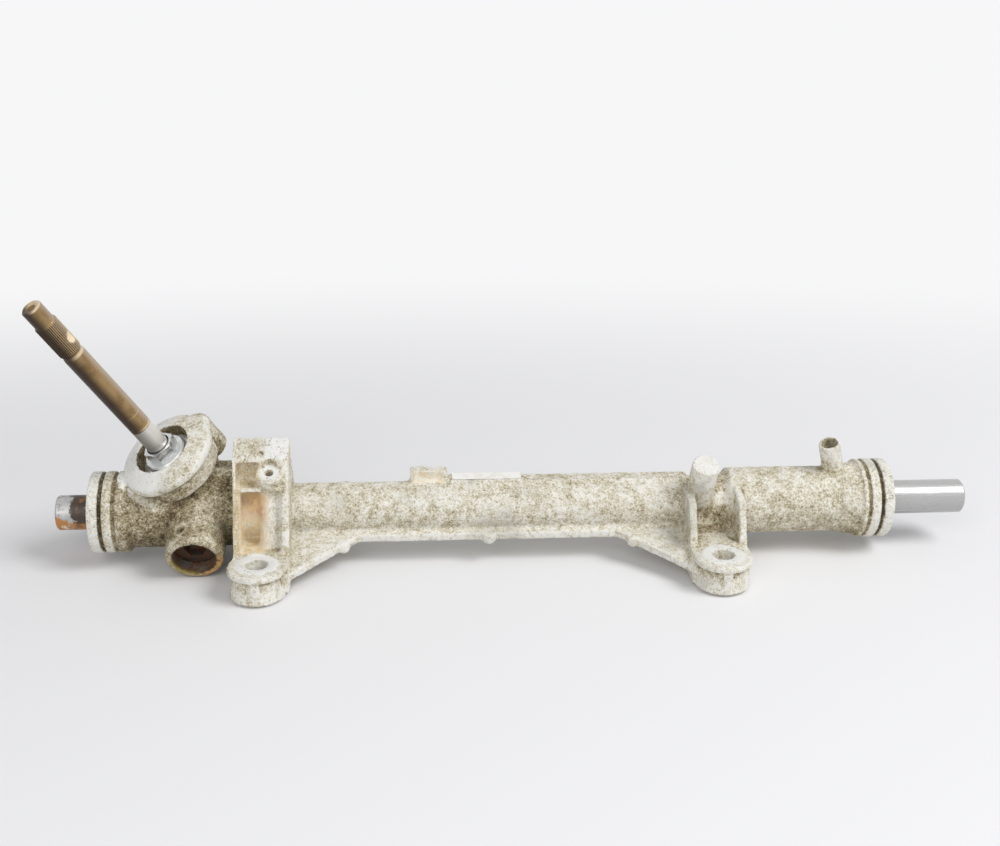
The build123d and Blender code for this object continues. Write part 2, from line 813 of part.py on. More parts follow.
def pinion_shaft():
    """Pinion and input shaft in one piece: tail, gear, bearing seat, long shaft and splined end."""
    half_face = pinion_face_width / 2
    bearing_fit = bearing_bore_radius
    circlip_top = bearing_top + circlip_thickness
    spline_end = spline_start + spline_length
    outline = [
        (0, needle_cup_bottom + needle_cup_wall), (tail_radius, needle_cup_bottom + needle_cup_wall),
        (tail_radius, -half_face), (root_radius, -half_face), (root_radius, half_face),
        (shoulder_radius, half_face + pinion_runout / 2), (shoulder_radius, bearing_seat),
        (bearing_fit, bearing_seat), (bearing_fit, bearing_top),
        (circlip_groove_radius, bearing_top), (circlip_groove_radius, circlip_top),
        (shaft_radius, circlip_top), (shaft_radius, spline_start - spline_collar_length),
        (pilot_radius, spline_start), (pilot_radius, shaft_end - pilot_chamfer),
        (pilot_radius - pilot_chamfer, shaft_end), (0, shaft_end),
    ]
    shaft = turned_upright(outline)
    shaft += pinion_gear()
    bevel = [
        (0, spline_start), (pilot_radius, spline_start), (spline_radius, spline_start + spline_end_bevel),
        (spline_radius, spline_end - spline_end_bevel), (pilot_radius, spline_end), (0, spline_end),
    ]
    spline = Pos(0, 0, spline_start) * extrude(spline_section(), amount=spline_length)
    shaft += spline & turned_upright(bevel)
    notch = Pos(0, clamp_notch_centre, spline_start + clamp_notch_position)
    shaft -= notch * Rot(0, 90, 0) * Cylinder(clamp_notch_radius, 4 * spline_radius)
    shaft -= Pos(0, 0, shaft_end - end_dish_depth / 2) * Cone(0, end_dish_radius, end_dish_depth)
    return on_pinion(shaft)


def bearing_ring(inner, outer):
    """Plain ring of the ball bearing, before its ball track is cut."""
    return tube(outer, inner, bearing_seat, bearing_top)


def ball_track():
    """Round-section track that both races share."""
    return ring_of(ball_circle_radius, ball_radius + race_clearance, bearing_seat + bearing_width / 2)


def pinion_bearing_inner_race():
    """Inner race, clamped between the pinion's shoulder and the circlip."""
    return on_pinion(bearing_ring(bearing_bore_radius, race_shoulder_inner) - ball_track())


def pinion_bearing_outer_race():
    """Outer race, clamped between the tower's seat and the plug."""
    return on_pinion(bearing_ring(race_shoulder_outer, bearing_outer_radius) - ball_track())


def ball_places():
    """Places of the ball centres in the pinion's frame."""
    middle = bearing_seat + bearing_width / 2
    return [Rot(0, 0, 360 * index / ball_count) * Pos(ball_circle_radius, 0, middle)
            for index in range(ball_count)]


def pinion_bearing_balls():
    """Bearing balls."""
    return [on_pinion(place * Sphere(ball_radius)) for place in ball_places()]


def pinion_bearing_cage():
    """Cage band with a drilled pocket for each ball."""
    middle = bearing_seat + bearing_width / 2
    cage = tube(cage_outer_radius, cage_inner_radius, middle - cage_width / 2, middle + cage_width / 2)
    for place in ball_places():
        cage -= place * Rot(0, 90, 0) * Cylinder(ball_radius + cage_clearance, 4 * ball_radius)
    return on_pinion(cage)


def pinion_circlip():
    """Open snap ring in the shaft groove over the inner race."""
    ring = tube(circlip_outer_radius, circlip_groove_radius, bearing_top, bearing_top + circlip_thickness)
    reach = 2 * circlip_outer_radius
    half = math.radians(circlip_gap_angle / 2)
    spread = reach * math.tan(half)
    wedge = make_face(Polyline((0, 0), (reach, -spread), (reach, spread), close=True))
    wedge = Pos(0, 0, bearing_top) * extrude(wedge, amount=circlip_thickness)
    return on_pinion(ring - wedge)


def needle_cup():
    """Drawn cup of the lower needle bearing."""
    return on_pinion(tube(needle_cup_radius, needle_raceway, needle_cup_bottom, needle_cup_top))


def needle_places():
    """Places of the needle centres in the pinion's frame."""
    middle = (needle_cup_bottom + needle_cup_top) / 2
    circle = tail_radius + needle_clearance + needle_radius
    return [Rot(0, 0, 360 * index / needle_count) * Pos(circle, 0, middle) for index in range(needle_count)]


def needle_rollers():
    """Needle rollers."""
    return [on_pinion(place * Cylinder(needle_radius, needle_length)) for place in needle_places()]


def needle_cage():
    """Thin cage with a slot for each needle."""
    circle = tail_radius + needle_clearance + needle_radius
    half = needle_cage_thickness / 2
    cage = tube(circle + half, circle - half, needle_cup_bottom, needle_cup_top)
    for place in needle_places():
        cage -= place * Cylinder(needle_radius + cage_clearance, needle_length + 2 * cage_clearance)
    return on_pinion(cage)


def pinion_plug():
    """Threaded plug over the bearing, with a washer face and a tall thin-walled hexagon round the shaft."""
    plug = rod(plug_thread_radius, plug_bottom, plug_top)
    plug = chamfer(plug.edges().filter_by(GeomType.CIRCLE).sort_by(Axis.Z)[-1], plug_edge)
    washer = rod(plug_washer_radius, plug_top, washer_top)
    plug += chamfer(washer.edges().filter_by(GeomType.CIRCLE).sort_by(Axis.Z)[-1], plug_edge)
    hexagon = extrude(RegularPolygon(plug_hex_flats / 2, 6, major_radius=False), amount=plug_hex_height)
    plug += Pos(0, 0, washer_top) * hexagon
    plug -= rod(plug_seal_radius, seal_bottom, seal_bottom + seal_height)
    plug -= rod(shaft_radius + plug_shaft_clearance, plug_bottom, hex_top)
    plug -= rod(plug_relief_radius, plug_bottom, seal_bottom)
    return on_pinion(plug)


def pinion_seal():
    """Rubber lip seal pressed into the plug from below."""
    top = seal_bottom + seal_height
    lip = shaft_radius + seal_clearance
    throat = lip + seal_lip_thickness
    outline = [
        (lip, seal_bottom + seal_height / 2), (throat, seal_bottom), (plug_seal_radius, seal_bottom),
        (plug_seal_radius, top), (throat, top), (throat, top - seal_dust_depth),
    ]
    return on_pinion(turned_upright(outline))


def rack_guide_yoke():
    """Rack guide: a cylinder saddled over the bar's round back, with a pocket for its spring."""
    body = rod(guide_bore_radius - guide_clearance, guide_front, guide_back)
    saddle = bar_radius + liner_clearance + liner_thickness
    body -= Rot(0, 90, 0) * Cylinder(saddle, 4 * guide_bore_radius)
    body -= rod(guide_spring_pocket_radius, guide_spring_pocket_floor, guide_back)
    ring_seat = guide_bore_radius - guide_clearance - guide_ring_radius
    groove = tube(guide_bore_radius, ring_seat - guide_ring_radius, guide_ring_position - guide_ring_radius,
                  guide_ring_position + guide_ring_radius)
    return on_guide(body - groove)


def yoke_liner():
    """Low-friction liner between the guide's saddle and the bar."""
    inner = bar_radius + liner_clearance
    reach = 2 * bar_radius
    half = math.radians(liner_half_angle)
    shell = tube(inner + liner_thickness, inner, -liner_width / 2, liner_width / 2)
    spread = reach * math.tan(half)
    sector = make_face(Polyline((0, 0), (reach, -spread), (reach, spread), close=True))
    sector = extrude(sector, amount=liner_width, both=True)
    return on_guide(Rot(0, -90, 0) * (shell & sector))


def yoke_o_ring():
    """Rubber ring that damps the guide in its bore."""
    seat = guide_bore_radius - guide_clearance - guide_ring_radius
    return on_guide(ring_of(seat, guide_ring_radius, guide_ring_position))


def yoke_spring():
    """Coil spring that presses the guide against the bar."""
    bottom = guide_spring_pocket_floor + spring_wire_radius
    top = guide_back + guide_plug_gap - spring_wire_radius
    path = Pos(0, 0, bottom) * Helix(pitch=(top - bottom) / spring_turns, height=top - bottom,
                                     radius=spring_mean_radius)
    section = Plane(origin=path @ 0, z_dir=path % 0) * Circle(spring_wire_radius)
    return on_guide(sweep(section, path=path, is_frenet=True))


def yoke_plug():
    """Threaded adjuster plug with a hexagon socket, sunk in the guide's boss."""
    bottom = guide_back + guide_plug_gap
    top = bottom + guide_plug_length
    plug = rod(guide_bore_radius - guide_plug_clearance, bottom, top)
    hexagon = RegularPolygon(guide_plug_hex_flats / 2, 6, major_radius=False)
    socket = extrude(hexagon, amount=guide_plug_hex_depth)
    return on_guide(plug - Pos(0, 0, top - guide_plug_hex_depth) * socket)


def bush_ring_stations():
    """Distances along the rack of the two damping rings."""
    return [bush_left + bush_length / 3, bush_left + 2 * bush_length / 3]


def rack_bush():
    """Flanged plastic bush that carries the plain end of the bar."""
    right = bush_left + bush_length
    inner = bar_radius + bush_clearance
    outline = [
        (bush_left, inner), (bush_left, bush_radius), (right - bush_flange_thickness, bush_radius),
        (right - bush_flange_thickness, bush_flange_radius), (right, bush_flange_radius), (right, inner),
    ]
    bush = turned(outline)
    for station in bush_ring_stations():
        start = station - bush_ring_radius
        end = station + bush_ring_radius
        floor = bush_radius - 2 * bush_ring_radius
        bush -= turned([(start, floor), (start, bush_radius), (end, bush_radius), (end, floor)])
    return bush


def bush_o_rings():
    """Rubber rings in the grooves of the bush."""
    return [Pos(station, 0, 0) * Rot(0, 90, 0) * Torus(bush_radius - bush_ring_radius, bush_ring_radius)
            for station in bush_ring_stations()]


nodes = {
    "rack_housing": rack_housing,
    "rack_bar": rack_bar,
    "pinion_shaft": pinion_shaft,
    "pinion_bearing_inner_race": pinion_bearing_inner_race,
    "pinion_bearing_outer_race": pinion_bearing_outer_race,
    "pinion_bearing_balls": pinion_bearing_balls,
    "pinion_bearing_cage": pinion_bearing_cage,
    "pinion_circlip": pinion_circlip,
    "needle_cup": needle_cup,
    "needle_rollers": needle_rollers,
    "needle_cage": needle_cage,
    "pinion_plug": pinion_plug,
    "pinion_seal": pinion_seal,
    "rack_guide_yoke": rack_guide_yoke,
    "yoke_liner": yoke_liner,
    "yoke_o_ring": yoke_o_ring,
    "yoke_spring": yoke_spring,
    "yoke_plug": yoke_plug,
    "rack_bush": rack_bush,
    "bush_o_rings": bush_o_rings,
}

os.makedirs("parts", exist_ok=True)
for name, make in nodes.items():
    made = make()
    pieces = made if isinstance(made, list) else [made]
    group = Compound(children=[solid for piece in pieces for solid in (rack_place * piece).solids()])
    export_step(group, os.path.join("parts", name + ".step"))
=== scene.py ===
import math

import bmesh
import bpy
import numpy as np
from mathutils import Matrix, Vector


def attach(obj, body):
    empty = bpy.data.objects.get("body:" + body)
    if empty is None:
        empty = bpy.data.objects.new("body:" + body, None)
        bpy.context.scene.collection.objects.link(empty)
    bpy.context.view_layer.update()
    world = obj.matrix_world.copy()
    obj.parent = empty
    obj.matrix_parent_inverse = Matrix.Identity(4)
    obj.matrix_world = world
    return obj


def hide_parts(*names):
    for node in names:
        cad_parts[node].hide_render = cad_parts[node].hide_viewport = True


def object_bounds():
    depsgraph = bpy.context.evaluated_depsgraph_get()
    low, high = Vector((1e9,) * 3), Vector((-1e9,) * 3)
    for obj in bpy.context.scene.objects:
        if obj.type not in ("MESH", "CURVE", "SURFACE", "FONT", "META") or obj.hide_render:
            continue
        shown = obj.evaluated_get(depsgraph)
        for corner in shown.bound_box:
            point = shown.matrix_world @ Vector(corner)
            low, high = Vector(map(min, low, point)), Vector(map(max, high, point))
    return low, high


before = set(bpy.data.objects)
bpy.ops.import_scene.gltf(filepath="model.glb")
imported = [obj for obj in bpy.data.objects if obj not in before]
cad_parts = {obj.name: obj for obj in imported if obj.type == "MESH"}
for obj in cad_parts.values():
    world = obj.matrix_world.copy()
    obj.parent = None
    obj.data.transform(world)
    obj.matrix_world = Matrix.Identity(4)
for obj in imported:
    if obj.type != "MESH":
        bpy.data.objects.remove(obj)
cad_low, cad_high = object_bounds()
scene = bpy.context.scene
scene.view_settings.view_transform = "Standard"

# Camera at the height and angle from which the rack was photographed, on a lens of about 50 mm.
# It looks a little from the left and down on the bench.
camera_place = Vector((-0.0602, -0.7922, 0.4273))
camera_yaw = math.radians(4.58)
camera_pitch = math.radians(21.48)
camera_roll = math.radians(0.83)
camera_sensor = 36.0
camera_lens = 49.84
camera_clip = 0.02
camera_data = bpy.data.cameras.new("bench_camera")
camera_data.sensor_width = camera_sensor
camera_data.lens = camera_lens
camera_data.clip_start = camera_clip
camera = bpy.data.objects.new("bench_camera", camera_data)
camera_turn = Matrix.Rotation(-camera_yaw, 4, "Z") @ Matrix.Rotation(math.pi / 2 - camera_pitch, 4, "X")
camera_turn = camera_turn @ Matrix.Rotation(camera_roll, 4, "Z")
camera.matrix_world = Matrix.Translation(camera_place) @ camera_turn
scene.collection.objects.link(camera)
scene.camera = camera

# Pale studio floor, a soft lamp high on the right, a weaker one in front on the left, and an even pale room.
# The floor carries the shadow under the rack, turns to plain white further off and runs on past the view.
floor_size = 40.0
floor_rows = 9
floor_drop = 0.0004
floor_white = (0.82, 0.82, 0.83)
floor_roughness = 0.9
floor_far = (0.93, 0.93, 0.94)
floor_near_reach = 0.22
floor_far_reach = 0.80
floor_stretch = (0.5, 1.0, 0.0)


def grid_object(name, points, wrap_across=False):
    """Mesh of a grid of points shaped (along, across, 3), one quad to a cell; it can wrap across."""
    along, across = points.shape[:2]
    index = np.arange(along * across).reshape(along, across)
    if wrap_across:
        index = np.concatenate([index, index[:, :1]], axis=1)
    quads = np.stack([index[:-1, :-1], index[1:, :-1], index[1:, 1:], index[:-1, 1:]], axis=-1)
    mesh = bpy.data.meshes.new(name)
    mesh.from_pydata(points.reshape(-1, 3).tolist(), [], quads.reshape(-1, 4).tolist())
    mesh.update()
    made = bpy.data.objects.new(name, mesh)
    scene.collection.objects.link(made)
    return made


def plain_material(name, colour, roughness, metallic=0.0):
    """New node material with its shader's constants set; returns the material, its tree and the shader."""
    made = bpy.data.materials.new(name)
    made.use_nodes = True
    shader = made.node_tree.nodes["Principled BSDF"]
    shader.inputs["Base Color"].default_value = (*colour, 1.0)
    shader.inputs["Roughness"].default_value = roughness
    shader.inputs["Metallic"].default_value = metallic
    return made, made.node_tree, shader


def object_place(tree):
    """Socket with the place on the piece, in metres."""
    return tree.nodes.new("ShaderNodeTexCoord").outputs["Object"]


def combine(tree, kind, one, two):
    """Sum, product or the like of a socket and another socket or a number."""
    node = tree.nodes.new("ShaderNodeMath")
    node.operation = kind
    for slot, value in enumerate((one, two)):
        if isinstance(value, (int, float)):
            node.inputs[slot].default_value = value
        else:
            tree.links.new(value, node.inputs[slot])
    return node.outputs[0]


def combine_vectors(tree, kind, one, two=None):
    """Vector operation on a socket and a constant; gives a number for a length, distance or dot product."""
    node = tree.nodes.new("ShaderNodeVectorMath")
    node.operation = kind
    tree.links.new(one, node.inputs[0])
    if two is not None:
        node.inputs[1].default_value = tuple(two)
    gives_number = kind in ("LENGTH", "DISTANCE", "DOT_PRODUCT")
    return node.outputs["Value" if gives_number else "Vector"]


def spread(tree, value, low, high, at_low=0.0, at_high=1.0):
    """Socket that runs smoothly from one number to another while value goes from low to high."""
    node = tree.nodes.new("ShaderNodeMapRange")
    node.interpolation_type = "SMOOTHSTEP"
    node.inputs["From Min"].default_value = low
    node.inputs["From Max"].default_value = high
    node.inputs["To Min"].default_value = at_low
    node.inputs["To Max"].default_value = at_high
    tree.links.new(value, node.inputs["Value"])
    return node.outputs["Result"]


def seen_ray(tree):
    """1 for what the camera sees directly, in a mirror or through glass."""
    path = tree.nodes.new("ShaderNodeLightPath")
    first = combine(tree, "MAXIMUM", path.outputs["Is Camera Ray"], path.outputs["Is Glossy Ray"])
    return combine(tree, "MAXIMUM", first, path.outputs["Is Transmission Ray"])


floor_line = np.linspace(-floor_size / 2, floor_size / 2, floor_rows)
floor_x, floor_y = np.meshgrid(floor_line, floor_line, indexing="ij")
floor_z = np.full_like(floor_x, float(cad_low.z) - floor_drop)
floor = grid_object("studio_floor", np.stack([floor_x, floor_y, floor_z], axis=-1))
floor_paint, floor_tree, floor_shader = plain_material("studio_floor_paint", floor_white, floor_roughness)
floor_flat = combine_vectors(floor_tree, "MULTIPLY", object_place(floor_tree), floor_stretch)
floor_length = combine_vectors(floor_tree, "LENGTH", floor_flat)
floor_away = spread(floor_tree, floor_length, floor_near_reach, floor_far_reach)
floor_seen = combine(floor_tree, "MULTIPLY", floor_away, seen_ray(floor_tree))
floor_glow = floor_tree.nodes.new("ShaderNodeEmission")
floor_glow.inputs["Color"].default_value = (*floor_far, 1.0)
floor_mix = floor_tree.nodes.new("ShaderNodeMixShader")
floor_tree.links.new(floor_seen, floor_mix.inputs[0])
floor_tree.links.new(floor_shader.outputs[0], floor_mix.inputs[1])
floor_tree.links.new(floor_glow.outputs[0], floor_mix.inputs[2])
floor_tree.links.new(floor_mix.outputs[0], floor_tree.nodes["Material Output"].inputs["Surface"])
floor.data.materials.append(floor_paint)


def soft_lamp(name, place, aim, size, power):
    """Square soft lamp at a place, turned so that it shines at the aim point."""
    data = bpy.data.lights.new(name, "AREA")
    data.shape = "SQUARE"
    data.size = size
    data.energy = power
    lamp = bpy.data.objects.new(name, data)
    lamp.location = place
    lamp.rotation_mode = "QUATERNION"
    lamp.rotation_quaternion = (Vector(aim) - Vector(place)).to_track_quat("-Z", "Y")
    scene.collection.objects.link(lamp)
    return lamp


lamp_aim = (0.0, 0.04, 0.04)
key_place = (1.4, -0.72, 1.88)
key_size = 1.1
key_power = 35.0
fill_place = (-0.6, -1.5, 1.15)
fill_size = 1.2
fill_power = 11.0
room_strength = 0.43
room_colour = (0.98, 0.985, 1.0)
soft_lamp("key_lamp", key_place, lamp_aim, key_size, key_power)
soft_lamp("fill_lamp", fill_place, lamp_aim, fill_size, fill_power)
world = bpy.data.worlds.new("pale_room")
world.use_nodes = True
scene.world = world
room = world.node_tree
room_light = room.nodes["Background"]
room_light.inputs["Color"].default_value = (*room_colour, 1.0)
room_light.inputs["Strength"].default_value = room_strength
room_seen = room.nodes.new("ShaderNodeBackground")
room_seen.inputs["Color"].default_value = (*floor_far, 1.0)
room_seen.inputs["Strength"].default_value = 1.0
room_mix = room.nodes.new("ShaderNodeMixShader")
room.links.new(seen_ray(room), room_mix.inputs[0])
room.links.new(room_light.outputs[0], room_mix.inputs[1])
room.links.new(room_seen.outputs[0], room_mix.inputs[2])
room.links.new(room_mix.outputs[0], room.nodes["World Output"].inputs["Surface"])

# Rack housing: one aluminium casting with two bolt ears, the pinion tower, the guide's boss and end collars.
# It is rough from the mould and weathered to a cream and olive crust. Bores, seats and collars are machined.
rack_line = np.array([0.0, 0.058, 0.0325])
pinion_cross = np.array([-0.1920, 0.07239, 0.039027])
pinion_way = np.array([-0.438371, -0.371296, 0.818517])
guide_start = np.array([-0.1920, 0.058, 0.0325])
guide_way = np.array([0.0, -0.9107, -0.4131])
rise_way = np.array([0.0, -0.4131, 0.9107])
side_way = np.cross(pinion_way, guide_way)
breather_start = np.array([0.2427, 0.0638, 0.0325])
breather_way = np.array([-0.2598, -0.2336, 0.9369])
dimple_place = np.array([-0.1484, 0.04185, 0.0795])
dimple_reach = 0.0040
ear_reach = 0.1502
ear_hole = 0.0138
ear_rim = 0.0215
ear_under = 0.0006
left_end, right_end = -0.2375, 0.2515
left_bell, right_bell = -0.218, 0.166
bell_bore = 0.0196
rack_bore = 0.0136
tower_bore, tower_floor = 0.0196, -0.0125
tail_bore, tail_floor = 0.0095, -0.03
boss_bore = 0.0147
flange_foot, flange_reach = 0.026, 0.034
weld_reach = 0.000002
crust_voxel = 0.0008
crust_rounds = 3
crust_passes = 5
crust_fill = 0.55
crust_round = 0.12
crust_triangles = 190000
crisp_keep = 0.3
hollow_passes = 40
lump_seed = 11
lump_waves = 32
lump_short, lump_long = 0.004, 0.016
lump_depth = 0.00011
lump_margin = 2.0
nick_place = np.array([-0.2002, 0.0225, 0.0358])
nick_reach = 0.0026
nick_depth = 0.0014
left_mark = np.array([-0.0515, 0.0432, 0.0213])
right_mark = np.array([0.0508, 0.0425, 0.0211])
mark_reach = 0.0042
mark_edge = 0.0030
mark_height = 0.0008


def away_from(points, start, way):
    """Distance along a line from its start, and square to the line, for each point."""
    along = (points - start) @ way
    across = np.linalg.norm(points - start - along[:, None] * way, axis=1)
    return along, across


def soft_step(value, low, high):
    """Smooth rise from 0 at low to 1 at high, and a smooth fall where high is the lower one."""
    share = np.clip((value - low) / (high - low), 0.0, 1.0)
    return share * share * (3.0 - 2.0 * share)


def loose_casting(points):
    """1 on the rough casting, less on the crisp ears and flange, 0 on machined bores, seats and collars."""
    rack_radius = np.hypot(points[:, 1] - rack_line[1], points[:, 2] - rack_line[2])
    up_pinion, pinion_radius = away_from(points, pinion_cross, pinion_way)
    down_guide, guide_radius = away_from(points, guide_start, guide_way)
    ear_radius = np.hypot(np.abs(points[:, 0]) - ear_reach, points[:, 1])
    at_end = (points[:, 0] < left_end) | (points[:, 0] > right_end)
    in_bell = ((points[:, 0] < left_bell) | (points[:, 0] > right_bell)) & (rack_radius < bell_bore)
    in_bore = rack_radius < rack_bore
    in_tower = (pinion_radius < tower_bore) & (up_pinion > tower_floor)
    in_tail = (pinion_radius < tail_bore) & (up_pinion > tail_floor)
    in_guide = (guide_radius < boss_bore) & (down_guide > 0.0)
    in_ear = ear_radius < ear_hole
    under_ear = points[:, 2] < ear_under
    machined = at_end | in_bell | in_bore | in_tower | in_tail | in_guide | in_ear | under_ear
    crisp = (ear_radius < ear_rim) | ((up_pinion > flange_foot) & (pinion_radius < flange_reach))
    drilled = np.linalg.norm(points - dimple_place, axis=1) < dimple_reach
    return np.where(machined | drilled, 0.0, np.where(crisp, crisp_keep, 1.0))


def cast_lumps(points):
    """Unevenness of the mould: a sum of sine waves in seeded directions and lengths, with a spread of 1."""
    draw = np.random.default_rng(lump_seed)
    ways = draw.normal(size=(lump_waves, 3))
    ways = ways / np.linalg.norm(ways, axis=1)[:, None]
    lengths = draw.uniform(lump_short, lump_long, lump_waves)
    phases = draw.uniform(0.0, 2.0 * math.pi, lump_waves)
    waves = np.sin(2.0 * math.pi * (points @ ways.T) / lengths + phases)
    return waves.sum(axis=1) * math.sqrt(2.0 / lump_waves)


def mesh_points(mesh):
    """Vertex places of a mesh as an array."""
    points = np.zeros(len(mesh.vertices) * 3, np.float32)
    mesh.vertices.foreach_get("co", points)
    return points.reshape(-1, 3).astype(float)


def mesh_facing(mesh):
    """Vertex normals of a mesh as an array."""
    normals = np.zeros(len(mesh.vertices) * 3, np.float32)
    mesh.vertex_normals.foreach_get("vector", normals)
    return normals.reshape(-1, 3).astype(float)


def move_points(mesh, points):
    """Put an array of places back into a mesh."""
    mesh.vertices.foreach_set("co", points.astype(np.float32).ravel())
    mesh.update()


def paint(mesh, name, values):
    """Store one number per vertex, for a material to read."""
    layer = mesh.attributes.new(name, "FLOAT", "POINT")
    layer.data.foreach_set("value", values.astype(np.float32))


def edge_ends(mesh):
    """Numbers of the two vertices of each edge, as a pair of arrays."""
    ends = np.zeros(len(mesh.edges) * 2, np.int32)
    mesh.edges.foreach_get("vertices", ends)
    return ends.reshape(-1, 2).T


def neighbour_mean(points, ends):
    """Mean place of the neighbours of each point, for points joined by edges."""
    first, second = ends
    count = len(points)
    degree = np.bincount(first, minlength=count) + np.bincount(second, minlength=count)
    total = np.stack([
        np.bincount(first, points[second, axis], count) + np.bincount(second, points[first, axis], count)
        for axis in range(3)], axis=1)
    return total / degree[:, None]


def hollowness(mesh):
    """Height of the smoothed surface over each point: above 0 in hollows and below 0 on edges."""
    points = mesh_points(mesh)
    ends = edge_ends(mesh)
    smooth = points
    for _ in range(hollow_passes):
        smooth = neighbour_mean(smooth, ends)
    return np.einsum("ij,ij->i", smooth - points, mesh_facing(mesh))


def cast_skin(source, name):
    """Copy of a CAD mesh as a casting: even fine quads, then each inner corner filled and each edge eased.

    Every pass moves a point towards the mean of its neighbours, quickly where that is outwards (a hollow
    corner) and slowly where it is inwards (an edge), so that corners turn into cast fillets. The mould's
    lumps and the nick then press the surface in along its normals, and two round marks stand out of the rib.
    """
    rough = bpy.data.objects.new(name + "_rough", source.data.copy())
    scene.collection.objects.link(rough)
    work = bmesh.new()
    work.from_mesh(rough.data)
    bmesh.ops.remove_doubles(work, verts=work.verts, dist=weld_reach)
    work.to_mesh(rough.data)
    work.free()
    remesh = rough.modifiers.new("even_skin", "REMESH")
    remesh.mode = "VOXEL"
    remesh.voxel_size = crust_voxel
    graph = bpy.context.evaluated_depsgraph_get()
    mesh = bpy.data.meshes.new_from_object(rough.evaluated_get(graph))
    rough.modifiers.clear()
    points = mesh_points(mesh)
    ends = edge_ends(mesh)
    loose = loose_casting(points)
    for _ in range(crust_rounds):
        move_points(mesh, points)
        facing = mesh_facing(mesh)
        for _ in range(crust_passes):
            pull = neighbour_mean(points, ends) - points
            outwards = np.einsum("ij,ij->i", pull, facing) > 0
            rate = np.where(outwards, crust_fill, crust_round) * loose
            points += rate[:, None] * pull
    move_points(mesh, points)
    press = lump_depth * np.minimum(cast_lumps(points) - lump_margin, 0.0)
    nick_far = np.linalg.norm(points - nick_place, axis=1)
    press = press - nick_depth * np.exp(-(nick_far / nick_reach) ** 2)
    for mark in (left_mark, right_mark):
        mark_far = np.linalg.norm(points - mark, axis=1)
        press = press + mark_height * soft_step(mark_far, mark_reach, mark_edge)
    points += (press * loose)[:, None] * mesh_facing(mesh)
    move_points(mesh, points)
    rough.data = mesh
    thin = rough.modifiers.new("fewer_faces", "DECIMATE")
    thin.ratio = min(1.0, crust_triangles / (2.0 * len(mesh.polygons)))
    graph = bpy.context.evaluated_depsgraph_get()
    graph.update()
    final = bpy.data.meshes.new_from_object(rough.evaluated_get(graph))
    bpy.data.objects.remove(rough)
    final.materials.clear()
    final.shade_smooth()
    made = bpy.data.objects.new(name, final)
    scene.collection.objects.link(made)
    return made


def inside(value, low, high):
    """True where a value lies between two limits."""
    return (value > low) & (value < high)


casting = cast_skin(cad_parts["rack_housing"], "casting")
cast_points = mesh_points(casting.data)
cast_facing = mesh_facing(casting.data)
cast_hollow = hollowness(casting.data)
cast_x, cast_y, cast_z = cast_points.T
tower_up, tower_radius = away_from(cast_points, pinion_cross, pinion_way)
boss_down, boss_radius = away_from(cast_points, guide_start, guide_way)
breather_up, breather_radius = away_from(cast_points, breather_start, breather_way)
nick_far = np.linalg.norm(cast_points - nick_place, axis=1)
rack_radius = np.hypot(cast_y - rack_line[1], cast_z - rack_line[2])
ear_radius = np.hypot(np.abs(cast_x) - ear_reach, cast_y)
facing_back = cast_facing[:, 1]
facing_up = cast_facing[:, 2]
facing_rise = cast_facing @ rise_way
facing_tower = cast_facing @ pinion_way

# Tone of the crust, from 0 for dark to 1 for white: cream, with painted shade on faces that look down and on
# the collar under the tower's flange, brown on the pinion's body.
tube_tone = 0.74
under_edge, underside_painted_shade = (0.1, -0.8), 0.08
body_edge, body_dark = (-0.1655, -0.1705), 0.33
head_foot, head_rim = (0.022, 0.028), (0.0370, 0.0350)
collar_tilt, collar_height, collar_painted_shade = (0.5, 0.1), (0.040, 0.034), 0.14
left_body = soft_step(cast_x, *body_edge)
tower_head = soft_step(tower_up, *head_foot) * soft_step(tower_radius, *head_rim)
head_collar = tower_head * soft_step(facing_tower, *collar_tilt) * soft_step(tower_up, *collar_height)
# Faces that look down are painted darker, as shade.
tone = tube_tone - underside_painted_shade * soft_step(facing_up, *under_edge)
tone = tone - body_dark * left_body * (1.0 - tower_head)
# The collar's sides under the tower's flange are painted darker, as shade.
tone = tone - collar_painted_shade * left_body * head_collar

# Hollows get a painted shade, least on the tube and most on the pinion's body; the tube's lower part with the
# rib gets painted light, and the saddle is paler.
tube_edge = (0.134, 0.126)
hollow_edge, hollow_painted_shade = (0.0001, 0.0008), 0.16
hollow_shade_tube_less, hollow_shade_body_more = 0.14, 0.04
rib_height, rib_painted_light, tube_pale = (0.0290, 0.0225), 0.09, 0.03
saddle_side, saddle_height, saddle_pale = (-0.196, -0.186), (0.034, 0.040), 0.10
between_ears = soft_step(np.abs(cast_x), *tube_edge)
hollow_shade_amount = hollow_painted_shade - hollow_shade_tube_less * between_ears + hollow_shade_body_more * left_body
on_saddle = left_body * soft_step(cast_x, *saddle_side) * soft_step(cast_z, *saddle_height)
# Hollows are painted darker, as shade.
tone = tone - hollow_shade_amount * soft_step(cast_hollow, *hollow_edge)
# The tube's lower part with its rib is painted paler, as light falling on it.
tone = tone + between_ears * (tube_pale + rib_painted_light * soft_step(cast_z, *rib_height))
tone = tone + saddle_pale * on_saddle

